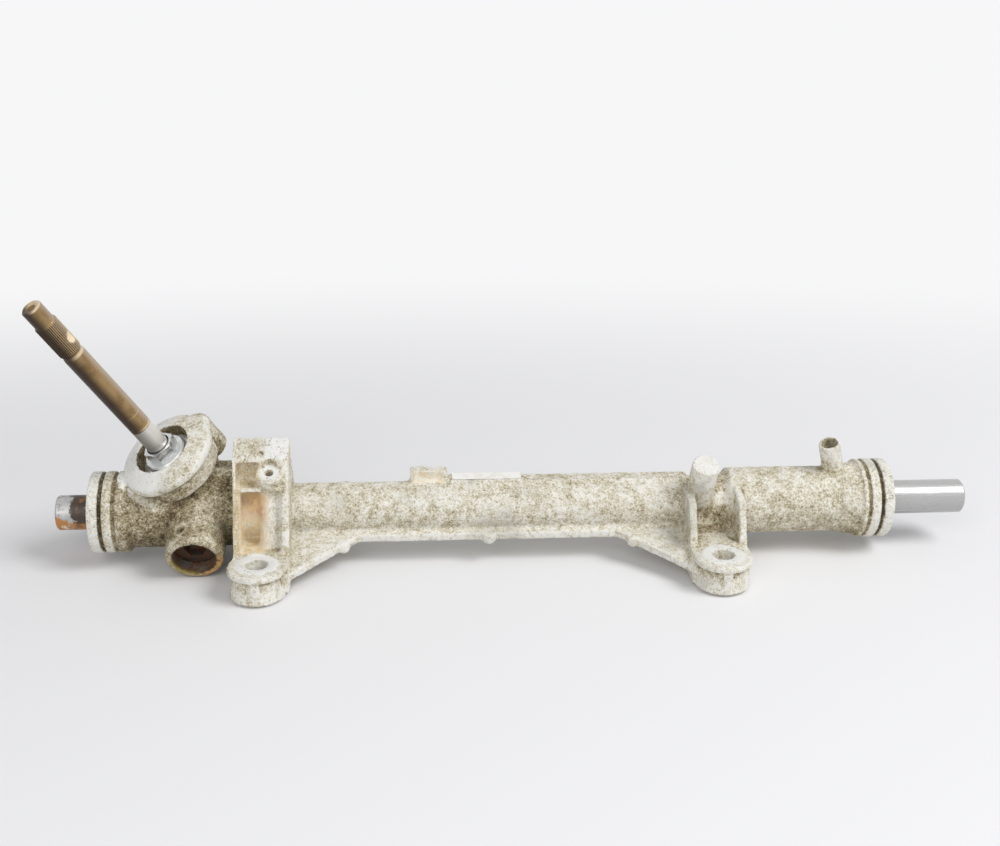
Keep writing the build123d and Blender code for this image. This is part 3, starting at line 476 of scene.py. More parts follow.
# The right bracket and the ears' sides are paler, convex edges get a painted highlight, and the tower's
# flange face is pale, with painted light on its left half.
right_side, right_height = (0.0150, 0.0130), (0.034, 0.040)
right_back, right_pale = 0.046, 0.20
ear_low, ear_pale = (0.0170, 0.0150), 0.08
convex_edge, edge_painted_highlight = (-0.0007, -0.0013), 0.14
flange_tilt, flange_height, flange_radius = (0.45, 0.85), (0.0375, 0.041), 0.036
flange_side, flange_tone, flange_painted_light = (-0.200, -0.222), 0.82, 0.13
in_right = soft_step(np.abs(cast_x - ear_reach), *right_side) * soft_step(cast_z, *right_height)
flange_face = soft_step(facing_tower, *flange_tilt) * soft_step(tower_up, *flange_height)
flange_face = flange_face * (tower_radius < flange_radius)
flange_left_half_lit = soft_step(cast_x, *flange_side)
tone = tone + right_pale * in_right * (cast_y < right_back)
tone = tone + ear_pale * (ear_radius < ear_rim) * soft_step(cast_z, *ear_low)
# Convex edges are painted paler, as a highlight.
tone = tone + edge_painted_highlight * soft_step(cast_hollow, *convex_edge)
# The flange face is set pale, and its left half is painted paler still, as light.
tone = tone + flange_face * (flange_tone + flange_painted_light * flange_left_half_lit - tone)

# The bores are painted dark, as the shade inside them.
boss_bore_shade, tower_bore_shade, bell_bore_shade = 0.05, 0.30, 0.22
tower_wall, bell_wall, bell_left = 0.0192, 0.0195, -0.2
in_boss = (boss_radius < boss_bore) & (boss_down > 0.0)
in_tower = (tower_radius < tower_wall) & (tower_up > 0.0)
in_bell = ((cast_x < bell_left) | (cast_x > right_bell)) & (rack_radius < bell_wall)
tone = np.where(in_boss, boss_bore_shade, tone)
tone = np.where(in_tower, tower_bore_shade, tone)
tone = np.where(in_bell, bell_bore_shade, tone)

# The left bracket's pocket and its recess are painted paler, as light inside them, the recess less so; the
# bracket's front wall is duller, and the waist under each ear gets a painted shade.
bracket_middle, pocket_half = -0.1484, 0.0135
recess_middle, recess_half = -0.1564, 0.0080
pocket_deep, pocket_high = (0.014, 0.046), (0.0205, 0.0565)
recess_deep, recess_high = (0.026, 0.060), (0.0595, 0.0752)
pocket_light_more, pocket_painted_light, recess_painted_light, not_top = 0.12, 0.90, 0.70, 0.9
waist_inner, waist_high, waist_tilt, waist_back = 0.0142, 0.0158, -0.95, 0.004
waist_height, waist_edge, waist_painted_shade = (0.004, 0.013), (0.0176, 0.0164), 0.12
wall_edge, wall_left, wall_back, wall_tilt = (-0.1590, -0.1610), -0.172, 0.032, (-0.3, -0.7)
wall_foot, wall_top, wall_dark = (0.018, 0.024), (0.066, 0.058), 0.28
left_pocket = (np.abs(cast_x - bracket_middle) < pocket_half) & inside(cast_y, *pocket_deep)
left_pocket = left_pocket & inside(cast_z, *pocket_high)
left_recess = (np.abs(cast_x - recess_middle) < recess_half) & inside(cast_y, *recess_deep)
left_recess = left_recess & inside(cast_z, *recess_high)
ear_waist = (ear_radius > waist_inner) & (cast_z < waist_high)
ear_waist = ear_waist & (facing_up > waist_tilt) & (cast_y < waist_back)
ear_waist = ear_waist * soft_step(cast_z, *waist_height) * soft_step(ear_radius, *waist_edge)
left_wall = soft_step(cast_x, *wall_edge) * (cast_x > wall_left) * (cast_y < wall_back)
left_wall = left_wall * soft_step(cast_z, *wall_foot) * soft_step(cast_z, *wall_top)
left_wall = left_wall * soft_step(facing_back, *wall_tilt)
# The pocket and the recess are painted paler, as light inside them.
pocket_lit_level = np.maximum(tone + pocket_light_more, pocket_painted_light)
tone = np.where(left_pocket & (facing_rise < not_top), pocket_lit_level, tone)
tone = np.where(left_recess & (facing_rise < not_top), recess_painted_light, tone)
# The waist under each ear plate is painted darker, as shade.
tone = tone - waist_painted_shade * ear_waist
tone = tone - wall_dark * left_wall

# The right body darkens downwards, the nick is dark with a pale rim, the breather is pale with a dull bore.
right_run, right_low, right_dark = (0.190, 0.245), (0.05, 0.02), 0.10
nick_edge, nick_dark = (0.0028, 0.0012), 0.40
nick_rim, nick_rim_edge, nick_pale = 0.0042, (0.0016, 0.0004), 0.20
breather_wall, breather_foot, breather_pale = (0.0095, 0.0082), (0.024, 0.030), 0.08
breather_bore, breather_floor, breather_top, breather_tone = 0.0060, 0.026, 0.0465, 0.60
on_breather = soft_step(breather_radius, *breather_wall) * soft_step(breather_up, *breather_foot)
in_breather = (breather_radius < breather_bore) & inside(breather_up, breather_floor, breather_top)
tone = tone - right_dark * soft_step(cast_x, *right_run) * soft_step(cast_z, *right_low)
tone = tone - nick_dark * soft_step(nick_far, *nick_edge)
tone = tone + nick_pale * soft_step(np.abs(nick_far - nick_rim), *nick_rim_edge)
tone = tone + breather_pale * on_breather
tone = np.where(in_breather, breather_tone, tone)

# The end collars have a pale ring each, and the relief and the groove beside it are painted darker.
ends_middle = 0.0063
ring_start, ring_wall, ring_tone, ring_left_less = (0.2519, 0.2523), (0.0258, 0.0266), 0.92, 0.12
relief_from, relief_to, relief_wall, relief_tone = 0.2494, 0.2523, 0.0264, 0.40
groove_from, groove_to, groove_wall, groove_tone = 0.2579, 0.2607, 0.0266, 0.20
lip_start, lip_dark = (0.2603, 0.2609), 0.16
end_far = np.abs(cast_x - ends_middle)
end_lip = soft_step(end_far, *lip_start)
on_ring = soft_step(end_far, *ring_start) * soft_step(rack_radius, *ring_wall)
in_relief = inside(end_far, relief_from, relief_to) & (rack_radius < relief_wall)
in_groove = inside(end_far, groove_from, groove_to) & (rack_radius < groove_wall)
tone = tone + on_ring * (ring_tone - ring_left_less * (cast_x < 0.0) - tone)
tone = np.where(in_relief, relief_tone, tone)
tone = np.where(in_groove, groove_tone, tone)
tone = tone - lip_dark * end_lip * (cast_x > 0.0)

# Bare metal on machined and rubbed faces: ear seats, flange, bracket and post tops, threaded pad, end lips;
# on the flange only the left half is bare, and that is partly painted light.
seat_tilt, seat_radius, seat_height = (0.7, 0.9), 0.0140, 0.019
flange_bare_and_light, post_bare, lip_bare = 0.9, 0.5, 0.5
top_tilt, top_height, top_half, top_run = (0.85, 0.97), 0.073, 0.021, (-0.152, -0.141)
post_tilt, post_height, post_middle, post_half = (0.7, 0.95), 0.064, 0.1426, 0.012
pad_x, pad_y, pad_edge, pad_tilt = -0.1428, 0.034, (0.0075, 0.0055), (0.6, 0.9)
pad_height, lip_wall = (0.064, 0.074), (0.0205, 0.0225)
ear_seat = soft_step(facing_up, *seat_tilt) * (ear_radius < seat_radius) * (cast_z > seat_height)
bracket_top = soft_step(facing_rise, *top_tilt) * (cast_z > top_height)
bracket_top = bracket_top * (np.abs(cast_x - bracket_middle) < top_half) * soft_step(cast_x, *top_run)
post_top = soft_step(facing_rise, *post_tilt) * (cast_z > post_height)
post_top = post_top * (np.abs(cast_x - post_middle) < post_half)
pad_ring = soft_step(np.hypot(cast_x - pad_x, cast_y - pad_y), *pad_edge)
pad_ring = pad_ring * inside(cast_z, *pad_height) * soft_step(facing_rise, *pad_tilt)
# The flange's bare share lies on its left half only, partly as painted light.
bare = np.maximum(ear_seat, flange_bare_and_light * flange_face * flange_left_half_lit)
bare = np.maximum(bare, bracket_top)
bare = np.maximum(bare, post_bare * post_top)
bare = np.maximum(bare, pad_ring)
bare = np.maximum(bare, lip_bare * end_lip * soft_step(rack_radius, *lip_wall))

# Stains that have run from the steel pieces: in the left bracket's pocket and round the guide's mouth.
stain_x, stain_z, stain_back, stain_rust = -0.1530, 0.0465, 0.043, 0.65
stain_wide, stain_deep, stain_high = (0.0115, 0.0040), (0.012, 0.024), (0.0120, 0.0030)
mouth_start, mouth_radius = (0.0385, 0.0415), 0.0182
mouth_right, mouth_tilt, mouth_low = (-0.1925, -0.1845), (0.6, -0.1), (0.022, 0.012)
moss_side, moss_low = (-0.1860, -0.1960), (0.020, 0.008)
in_pocket = soft_step(np.abs(cast_x - stain_x), *stain_wide) * soft_step(cast_y, *stain_deep)
in_pocket = in_pocket * soft_step(np.abs(cast_z - stain_z), *stain_high) * (cast_y < stain_back)
mouth_rim = soft_step(boss_down, *mouth_start) * (boss_radius < mouth_radius)
mouth_rust = mouth_rim * soft_step(cast_x, *mouth_right) * soft_step(facing_rise, *mouth_tilt)
rust = np.maximum(stain_rust * in_pocket, mouth_rust * soft_step(cast_z, *mouth_low))
moss = mouth_rim * soft_step(cast_x, *moss_side) * soft_step(cast_z, *moss_low)

# Tan where the casting has yellowed: the front of the tube's square pad and the left bracket's inner faces.
square_x, square_half, square_back, square_foot, square_tilt = -0.0395, 0.0103, 0.0595, 0.0495, -0.5
square_tone, square_tan = 0.95, 0.55
pocket_run, pocket_tan = (-0.1405, -0.1485), 0.95
recess_tan, wall_tan = 0.5, 0.55
on_square = (np.abs(cast_x - square_x) < square_half) & (cast_y < square_back)
on_square = on_square & (cast_z > square_foot) & (facing_back < square_tilt)
tone = np.where(on_square, square_tone, tone)
tan = np.maximum(square_tan * on_square, pocket_tan * left_pocket * soft_step(cast_x, *pocket_run))
tan = np.maximum(tan, recess_tan * left_recess)
tan = np.maximum(tan, wall_tan * left_wall)
for paint_name, values in (("tone", tone), ("bare", bare), ("rust", rust), ("moss", moss), ("tan", tan)):
    paint(casting.data, paint_name, np.clip(values, 0.0, 1.0))


def speckle(tree, place, per_metre, detail=4.0, roughness=0.6):
    """Noise socket with so many blotches to the metre."""
    noise = tree.nodes.new("ShaderNodeTexNoise")
    noise.inputs["Scale"].default_value = per_metre
    noise.inputs["Detail"].default_value = detail
    noise.inputs["Roughness"].default_value = roughness
    tree.links.new(place, noise.inputs["Vector"])
    return noise.outputs[0]


def swing(tree, noise, gain):
    """Noise as a swing about nothing, times a gain."""
    return combine(tree, "MULTIPLY", combine(tree, "SUBTRACT", noise, 0.5), gain)


def tint(tree, share, below, above):
    """Colour that turns from below to above as share goes from 0 to 1; each is a colour or a socket."""
    node = tree.nodes.new("ShaderNodeMix")
    node.data_type = "RGBA"
    tree.links.new(share, node.inputs[0])
    for slot, value in ((6, below), (7, above)):
        if isinstance(value, tuple):
            node.inputs[slot].default_value = (*value, 1.0)
        else:
            tree.links.new(value, node.inputs[slot])
    return node.outputs[2]


def shades(tree, value, stops):
    """Colour read from a ramp of (place, colour) stops."""
    node = tree.nodes.new("ShaderNodeValToRGB")
    ramp = node.color_ramp
    ramp.elements[0].position, ramp.elements[1].position = stops[0][0], stops[-1][0]
    ramp.elements[0].color, ramp.elements[1].color = (*stops[0][1], 1.0), (*stops[-1][1], 1.0)
    for place, colour in stops[1:-1]:
        ramp.elements.new(place).color = (*colour, 1.0)
    tree.links.new(value, node.inputs[0])
    return node.outputs[0]


def painted(tree, name):
    """Socket with a number stored on the mesh."""
    node = tree.nodes.new("ShaderNodeAttribute")
    node.attribute_name = name
    return node.outputs["Fac"]


def finish_surface(tree, shader, colour, roughness, height, depth):
    """Give a shader its colour and roughness, and a bump of that depth in metres from a height socket."""
    bump = tree.nodes.new("ShaderNodeBump")
    bump.inputs["Strength"].default_value = 1.0
    bump.inputs["Distance"].default_value = depth
    tree.links.new(height, bump.inputs["Height"])
    tree.links.new(colour, shader.inputs["Base Color"])
    tree.links.new(roughness, shader.inputs["Roughness"])
    tree.links.new(bump.outputs["Normal"], shader.inputs["Normal"])


crust_shades = [
    (0.0, (0.04, 0.029, 0.013)), (0.22, (0.14, 0.102, 0.048)), (0.45, (0.34, 0.278, 0.158)),
    (0.66, (0.60, 0.540, 0.400)), (0.82, (0.78, 0.735, 0.610)), (1.0, (0.92, 0.905, 0.850)),
]
crust_bare = (0.925, 0.92, 0.89)
crust_rust = (0.86, 0.46, 0.14)
crust_red = (0.50, 0.10, 0.02)
crust_moss = (0.36, 0.26, 0.045)
crust_tan = (0.90, 0.71, 0.41)
crust_stain = (0.40, 0.38, 0.29)
crust_roughness = 0.62
crust_bump = 0.0007
grain_count, grain_gain = 900.0, 1.5
fleck_count, fleck_gain = 400.0, 1.0
patch_count, patch_gain = 150.0, 0.8
blotch_count, blotch_gain = 50.0, 0.55
stain_count = 26.0
crust, crust_tree, crust_shader = plain_material("weathered_casting", crust_shades[3][1], crust_roughness)
crust_place = object_place(crust_tree)
grain = speckle(crust_tree, crust_place, grain_count, detail=4.0, roughness=0.7)
flecks = speckle(crust_tree, crust_place, fleck_count, detail=5.0, roughness=0.7)
patches = speckle(crust_tree, crust_place, patch_count, detail=4.0, roughness=0.65)
blotches = speckle(crust_tree, crust_place, blotch_count, detail=4.0, roughness=0.6)
stains = speckle(crust_tree, crust_place, stain_count, detail=3.0, roughness=0.55)
crust_swing = swing(crust_tree, grain, grain_gain)
for noise, gain in ((flecks, fleck_gain), (patches, patch_gain), (blotches, blotch_gain)):
    crust_swing = combine(crust_tree, "ADD", crust_swing, swing(crust_tree, noise, gain))
crust_level = combine(crust_tree, "ADD", painted(crust_tree, "tone"), crust_swing)
crust_colour = shades(crust_tree, crust_level, crust_shades)
stain_share = spread(crust_tree, stains, low=0.54, high=0.70, at_low=0.0, at_high=0.4)
crust_colour = tint(crust_tree, stain_share, crust_colour, crust_stain)
crust_rubbed = spread(crust_tree, crust_swing, low=-0.40, high=-0.08)
crust_pale = tint(crust_tree, crust_rubbed, crust_colour, crust_bare)
crust_colour = tint(crust_tree, painted(crust_tree, "bare"), crust_colour, crust_pale)
tan_flecks = spread(crust_tree, flecks, low=0.62, high=0.42, at_low=0.2, at_high=0.9)
tan_share = combine(crust_tree, "MULTIPLY", painted(crust_tree, "tan"), tan_flecks)
crust_colour = tint(crust_tree, tan_share, crust_colour, crust_tan)
moss_flecks = spread(crust_tree, flecks, low=0.62, high=0.40, at_low=0.2, at_high=0.95)
moss_share = combine(crust_tree, "MULTIPLY", painted(crust_tree, "moss"), moss_flecks)
crust_colour = tint(crust_tree, moss_share, crust_colour, crust_moss)
rust_flecks = spread(crust_tree, flecks, low=0.36, high=0.62, at_low=0.15, at_high=0.95)
rust_share = combine(crust_tree, "MULTIPLY", painted(crust_tree, "rust"), rust_flecks)
rust_colour = tint(crust_tree, spread(crust_tree, blotches, low=0.46, high=0.60), crust_rust, crust_red)
crust_colour = tint(crust_tree, rust_share, crust_colour, rust_colour)
crust_dull = spread(crust_tree, crust_swing, low=-0.3, high=0.3, at_low=0.8, at_high=0.5)
finish_surface(crust_tree, crust_shader, crust_colour, crust_dull, crust_swing, crust_bump)
casting.data.materials.append(crust)
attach(casting, "housing")
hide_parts("rack_housing")

# Needle bearing at the foot of the pinion: a drawn steel cup, its needles and their cage.
# All of it is ground or pressed steel in a film of grease, pushed into the closed end of the tower.


def dress(node_name, finish):
    """Give a CAD piece its finish."""
    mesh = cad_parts[node_name].data
    mesh.materials.clear()
    mesh.materials.append(finish)


def ground_steel(name, colour, roughness, film):
    """Ground steel with fine scratches and a thin uneven film of another colour."""
    finish, tree, shader = plain_material(name, colour, roughness, 1.0)
    place = object_place(tree)
    film_count, scratch_count, scratch_bump = 130.0, 1500.0, 0.00003
    smoother, rougher = roughness - 0.08, roughness + 0.12
    film_cloud = speckle(tree, place, film_count, detail=4.0)
    film_share = spread(tree, film_cloud, low=0.48, high=0.72, at_low=0.0, at_high=0.8)
    scratches = speckle(tree, place, scratch_count, detail=2.0)
    scratched = spread(tree, scratches, low=0.3, high=0.7, at_low=smoother, at_high=rougher)
    finish_surface(tree, shader, tint(tree, film_share, colour, film), scratched, scratches, scratch_bump)
    return finish


bearing_colour = (0.72, 0.72, 0.73)
bearing_grease = (0.42, 0.36, 0.24)
bearing_roughness = 0.22
cage_colour = (0.55, 0.50, 0.40)
cage_roughness = 0.38
bearing_finish = ground_steel("bearing_steel_finish", bearing_colour, bearing_roughness, bearing_grease)
cage_finish = ground_steel("pressed_cage_finish", cage_colour, cage_roughness, bearing_grease)
dress("needle_cup", bearing_finish)
dress("needle_rollers", bearing_finish)
dress("needle_cage", cage_finish)

# Ball bearing at the head of the pinion: two races, balls in a cage, and the snap ring over the inner race.
# The races and balls are bearing steel, the ring is blackened spring steel sprung into its groove.
snap_ring_colour = (0.22, 0.22, 0.23)
snap_ring_oil = (0.10, 0.08, 0.05)
snap_ring_roughness = 0.35
snap_ring_finish = ground_steel("spring_steel_finish", snap_ring_colour, snap_ring_roughness, snap_ring_oil)
dress("pinion_bearing_inner_race", bearing_finish)
dress("pinion_bearing_outer_race", bearing_finish)
dress("pinion_bearing_balls", bearing_finish)
dress("pinion_bearing_cage", cage_finish)
dress("pinion_circlip", snap_ring_finish)

# Rack bush in the right bell: a flanged sleeve of pale bearing plastic with two rubber rings round it.
# It is pushed in from the right end and carries the plain end of the bar.


def moulded(name, colour, stain, roughness):
    """Moulded plastic or rubber: slight mottling and a fine grain."""
    finish, tree, shader = plain_material(name, colour, roughness)
    place = object_place(tree)
    cloud_count, grain_count, grain_bump = 160.0, 1400.0, 0.00006
    smoother, rougher = roughness - 0.06, roughness + 0.1
    cloud = speckle(tree, place, cloud_count, detail=4.0)
    cloud_share = spread(tree, cloud, low=0.4, high=0.75, at_low=0.0, at_high=0.7)
    grain = speckle(tree, place, grain_count, detail=2.0)
    grained = spread(tree, grain, low=0.3, high=0.7, at_low=smoother, at_high=rougher)
    finish_surface(tree, shader, tint(tree, cloud_share, colour, stain), grained, grain, grain_bump)
    return finish


bush_colour = (0.80, 0.77, 0.67)
bush_stain = (0.55, 0.47, 0.32)
bush_roughness = 0.45
rubber_colour = (0.028, 0.028, 0.028)
rubber_dust = (0.07, 0.065, 0.055)
rubber_roughness = 0.55
bush_finish = moulded("bush_plastic_finish", bush_colour, bush_stain, bush_roughness)
rubber_finish = moulded("black_rubber_finish", rubber_colour, rubber_dust, rubber_roughness)
dress("rack_bush", bush_finish)
dress("bush_o_rings", rubber_finish)

# Rack bar: a ground round steel bar with its teeth towards the pinion and a tie-rod thread in each end.
# The right end is polished by the bush; the left end carries dark grease and rust.
bar_bright = (0.46, 0.455, 0.45)
bar_grease = (0.055, 0.035, 0.02)
bar_rust = (0.46, 0.20, 0.05)
bar_cream = (0.80, 0.72, 0.58)
bar_roughness, bar_left_rougher = 0.2, 0.2
bar_clean_metal = 0.6
bar_left_edge = (-0.262, -0.258)
bar_low_edge, bar_low_more = (0.0345, 0.0275), 0.8
bar_near_edge, bar_near_more = (-0.2775, -0.2690), 0.9
bar_blotch_count, bar_smear_count, bar_gain = 120.0, 60.0, 4.0
bar_wear_count, bar_wear_bump = 900.0, 0.00001
bar_wear_stretch = (0.03, 1.0, 1.0)
bar_finish, bar_tree, bar_shader = plain_material("ground_bar_finish", bar_bright, bar_roughness, 1.0)
bar_place = object_place(bar_tree)
bar_axis = bar_tree.nodes.new("ShaderNodeSeparateXYZ")
bar_tree.links.new(bar_place, bar_axis.inputs[0])
bar_left_share = spread(bar_tree, bar_axis.outputs["X"], *bar_left_edge, at_low=1.0, at_high=0.0)
bar_low = spread(bar_tree, bar_axis.outputs["Z"], *bar_low_edge, at_low=0.0, at_high=bar_low_more)
bar_near = spread(bar_tree, bar_axis.outputs["X"], *bar_near_edge, at_low=0.0, at_high=bar_near_more)
bar_blotch = speckle(bar_tree, bar_place, bar_blotch_count, detail=5.0, roughness=0.7)
bar_smear = speckle(bar_tree, bar_place, bar_smear_count, detail=4.0, roughness=0.6)
bar_grimy = combine(bar_tree, "ADD", swing(bar_tree, bar_blotch, bar_gain), bar_near)
bar_orange = combine(bar_tree, "ADD", swing(bar_tree, bar_smear, bar_gain), bar_low)
bar_dirty = combine(bar_tree, "MULTIPLY", bar_left_share, spread(bar_tree, bar_grimy, low=0.15, high=0.55))
bar_rusty = combine(bar_tree, "MULTIPLY", bar_left_share, spread(bar_tree, bar_orange, low=0.20, high=0.60))
bar_light = combine(bar_tree, "MULTIPLY", bar_left_share, spread(bar_tree, bar_blotch, low=0.44, high=0.34))
bar_tone = tint(bar_tree, bar_dirty, bar_bright, bar_grease)
bar_tone = tint(bar_tree, bar_rusty, bar_tone, bar_rust)
bar_tone = tint(bar_tree, bar_light, bar_tone, bar_cream)
bar_streak = bar_tree.nodes.new("ShaderNodeMapping")
bar_streak.inputs["Scale"].default_value = bar_wear_stretch
bar_tree.links.new(bar_place, bar_streak.inputs["Vector"])
bar_wear = speckle(bar_tree, bar_streak.outputs["Vector"], bar_wear_count, detail=3.0)
bar_worn_rough = spread(bar_tree, bar_wear, low=0.3, high=0.7, at_low=0.2, at_high=0.36)
bar_left_rough = combine(bar_tree, "MULTIPLY", bar_left_share, bar_left_rougher)
bar_rough = combine(bar_tree, "ADD", bar_worn_rough, bar_left_rough)
bar_covered = combine(bar_tree, "MAXIMUM", bar_dirty, bar_rusty)
bar_tree.links.new(combine(bar_tree, "SUBTRACT", bar_clean_metal, bar_covered), bar_shader.inputs["Metallic"])
finish_surface(bar_tree, bar_shader, bar_tone, bar_rough, bar_wear, bar_wear_bump)
dress("rack_bar", bar_finish)
thread_pitch = 0.0015
thread_half_foot = 0.45
thread_steps = 40
thread_fade = 4.0
thread_weld = 0.000001
bar_thread_radius = 0.00625
bar_thread_depth = 0.0005
bar_thread_turns = 11.0
bar_thread_start = 0.0018
bar_left_x, bar_right_x = -0.2844, 0.3286


def thread_ridge(name, start, way, side, radius, depth, turns, finish):
    """V ridge of a female thread: at turn t the ridge lies pitch * t along the way, at the angle 2 pi t.

    Its foot is nearly half a pitch wide each way on the wall and its crest stands inwards by depth. Both ends
    fade out to a point, and the foot's back closes it.
    """
    turn = np.linspace(0.0, turns, int(turns * thread_steps) + 1)
    angle = 2.0 * math.pi * turn
    fade = np.clip(np.minimum(turn, turns - turn) * thread_fade, 0.0, 1.0)
    other = np.cross(way, side)
    outward = np.cos(angle)[:, None] * side + np.sin(angle)[:, None] * other
    foot = np.array([-thread_half_foot, 0.0, thread_half_foot])
    crest = np.array([0.0, 1.0, 0.0])
    along = (turn[:, None] + foot * fade[:, None]) * thread_pitch
    reach = radius - depth * crest * fade[:, None]
    points = start + along[..., None] * way + reach[..., None] * outward[:, None, :]
    ridge = grid_object(name, points, wrap_across=True)
    work = bmesh.new()
    work.from_mesh(ridge.data)
    bmesh.ops.remove_doubles(work, verts=work.verts, dist=thread_weld)
    bmesh.ops.recalc_face_normals(work, faces=work.faces)
    work.to_mesh(ridge.data)
    work.free()
    ridge.data.materials.append(finish)
    return ridge


ridge_side = np.array([0.0, 0.0, 1.0])
bar_ends = (("left_bar_thread", bar_left_x, 1.0), ("right_bar_thread", bar_right_x, -1.0))
for end_name, end_x, inward in bar_ends:
    ridge_way = np.array([inward, 0.0, 0.0])
    ridge_start = np.array([end_x, rack_line[1], rack_line[2]]) + bar_thread_start * ridge_way
    ridge = thread_ridge(end_name, ridge_start, ridge_way, ridge_side, bar_thread_radius, bar_thread_depth,
                         bar_thread_turns, bar_finish)
    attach(ridge, "rack")

# Pinion shaft: helical pinion, bearing seat and long input shaft in one piece of steel, with a serrated end.
# The shaft has browned; its lower left side gets a painted shade and its upper right side a painted sheen.
# The seal's seat is bright.
shaft_brown = (0.315, 0.205, 0.090)
shaft_dark = (0.205, 0.125, 0.048)
shaft_groove = (0.08, 0.048, 0.022)
shaft_shade_colour = (0.028, 0.014, 0.006)
shaft_sheen_colour = (0.42, 0.34, 0.26)
shaft_silver = (0.74, 0.72, 0.68)
shaft_gold = (0.85, 0.70, 0.48)
shaft_roughness, shaft_specular = 0.34, 0.35
brown_metal, silver_metal = 0.2, 0.85
# Way towards the shaft's shaded side, for its painted shade and its painted sheen.
shade_way = (-0.74, -0.37, -0.565)
shade_edge, shade_most, shade_on_silver = (-0.0022, 0.0046), 0.96, 0.62
sheen_side, sheen_most = (-0.0030, -0.0065), 0.8
silver_edge = (0.0722, 0.0728)
ring_from, ring_to, ring_soft = 0.0730, 0.0743, 0.0003
scribe_from, scribe_to, scribe_soft, scribe_shine = 0.0852, 0.0858, 0.0002, 0.6
bevel_from, bevel_to, bevel_soft = 0.1428, 0.1448, 0.0004
spline_from, spline_to, spline_soft, spline_shine = 0.1458, 0.1708, 0.0004, 0.5
rim_edge = (0.1836, 0.1840)
gold_most = 0.55
groove_edge = (0.00735, 0.00685)
notch_along, notch_side, notch_edge = 0.1551, 0.0078, (0.0030, 0.0048)
notch_place = pinion_cross + notch_along * pinion_way + notch_side * side_way
shaft_cloud_count, shaft_fine_count, shaft_bump = 90.0, 900.0, 0.00005


def band(tree, along, low, high, edge):
    """1 between two places along a shaft, with soft edges."""
    rising = spread(tree, along, low - edge, low + edge)
    falling = spread(tree, along, high - edge, high + edge, 1.0, 0.0)
    return combine(tree, "MULTIPLY", rising, falling)


shaft_finish, shaft_tree, shaft_shader = plain_material(
    "browned_shaft_finish", shaft_brown, shaft_roughness, brown_metal)
shaft_shader.inputs["Specular IOR Level"].default_value = shaft_specular
shaft_place = object_place(shaft_tree)
shaft_offset = combine_vectors(shaft_tree, "SUBTRACT", shaft_place, pinion_cross)
shaft_along = combine_vectors(shaft_tree, "DOT_PRODUCT", shaft_offset, pinion_way)
shaft_light_axis = combine_vectors(shaft_tree, "DOT_PRODUCT", shaft_offset, shade_way)
shaft_across = combine_vectors(shaft_tree, "CROSS_PRODUCT", shaft_offset, pinion_way)
shaft_radius = combine_vectors(shaft_tree, "LENGTH", shaft_across)
notch_far = combine_vectors(shaft_tree, "DISTANCE", shaft_place, notch_place)
shaft_cloud = speckle(shaft_tree, shaft_place, shaft_cloud_count, detail=5.0, roughness=0.65)
shaft_fine = speckle(shaft_tree, shaft_place, shaft_fine_count, detail=3.0)
# The lower left side of the shaft is painted dark, as shade; the upper right side gets a painted sheen.
shaft_painted_shade = spread(shaft_tree, shaft_light_axis, *shade_edge, at_low=0.0, at_high=shade_most)
shaft_painted_sheen = spread(shaft_tree, shaft_light_axis, *sheen_side, at_low=0.0, at_high=sheen_most)
shaft_ground = spread(shaft_tree, shaft_along, *silver_edge, at_low=1.0, at_high=0.0)
shaft_scribe = band(shaft_tree, shaft_along, scribe_from, scribe_to, scribe_soft)
shaft_ring = band(shaft_tree, shaft_along, ring_from, ring_to, ring_soft)
shaft_bevel = band(shaft_tree, shaft_along, bevel_from, bevel_to, bevel_soft)
shaft_spline = band(shaft_tree, shaft_along, spline_from, spline_to, spline_soft)
shaft_rim = spread(shaft_tree, shaft_along, *rim_edge)
shaft_low = spread(shaft_tree, shaft_radius, *groove_edge)
shaft_crest = combine(shaft_tree, "SUBTRACT", 1.0, shaft_low)
spline_low = combine(shaft_tree, "MULTIPLY", shaft_spline, shaft_low)
spline_crest = combine(shaft_tree, "MULTIPLY", shaft_spline, shaft_crest)
spline_bright = combine(shaft_tree, "MULTIPLY", spline_crest, spline_shine)
shaft_bright = combine(shaft_tree, "MULTIPLY", shaft_scribe, scribe_shine)
for bright in (shaft_bevel, shaft_ring, shaft_rim, spline_bright):
    shaft_bright = combine(shaft_tree, "ADD", shaft_bright, bright)
shaft_golden = combine(shaft_tree, "MULTIPLY", shaft_bright, gold_most)
shaft_shade_share = spread(shaft_tree, shaft_ground, low=0.0, high=1.0, at_low=1.0, at_high=shade_on_silver)
shaft_shaded = combine(shaft_tree, "MULTIPLY", shaft_painted_shade, shaft_shade_share)
shaft_notch = spread(shaft_tree, notch_far, *notch_edge, at_low=1.0, at_high=0.0)
shaft_tone = tint(shaft_tree, spread(shaft_tree, shaft_cloud, low=0.40, high=0.68), shaft_brown, shaft_dark)
# Painted sheen on the upper right side of the shaft.
shaft_tone = tint(shaft_tree, shaft_painted_sheen, shaft_tone, shaft_sheen_colour)
shaft_tone = tint(shaft_tree, shaft_ground, shaft_tone, shaft_silver)
shaft_tone = tint(shaft_tree, spline_low, shaft_tone, shaft_groove)
shaft_tone = tint(shaft_tree, shaft_golden, shaft_tone, shaft_gold)
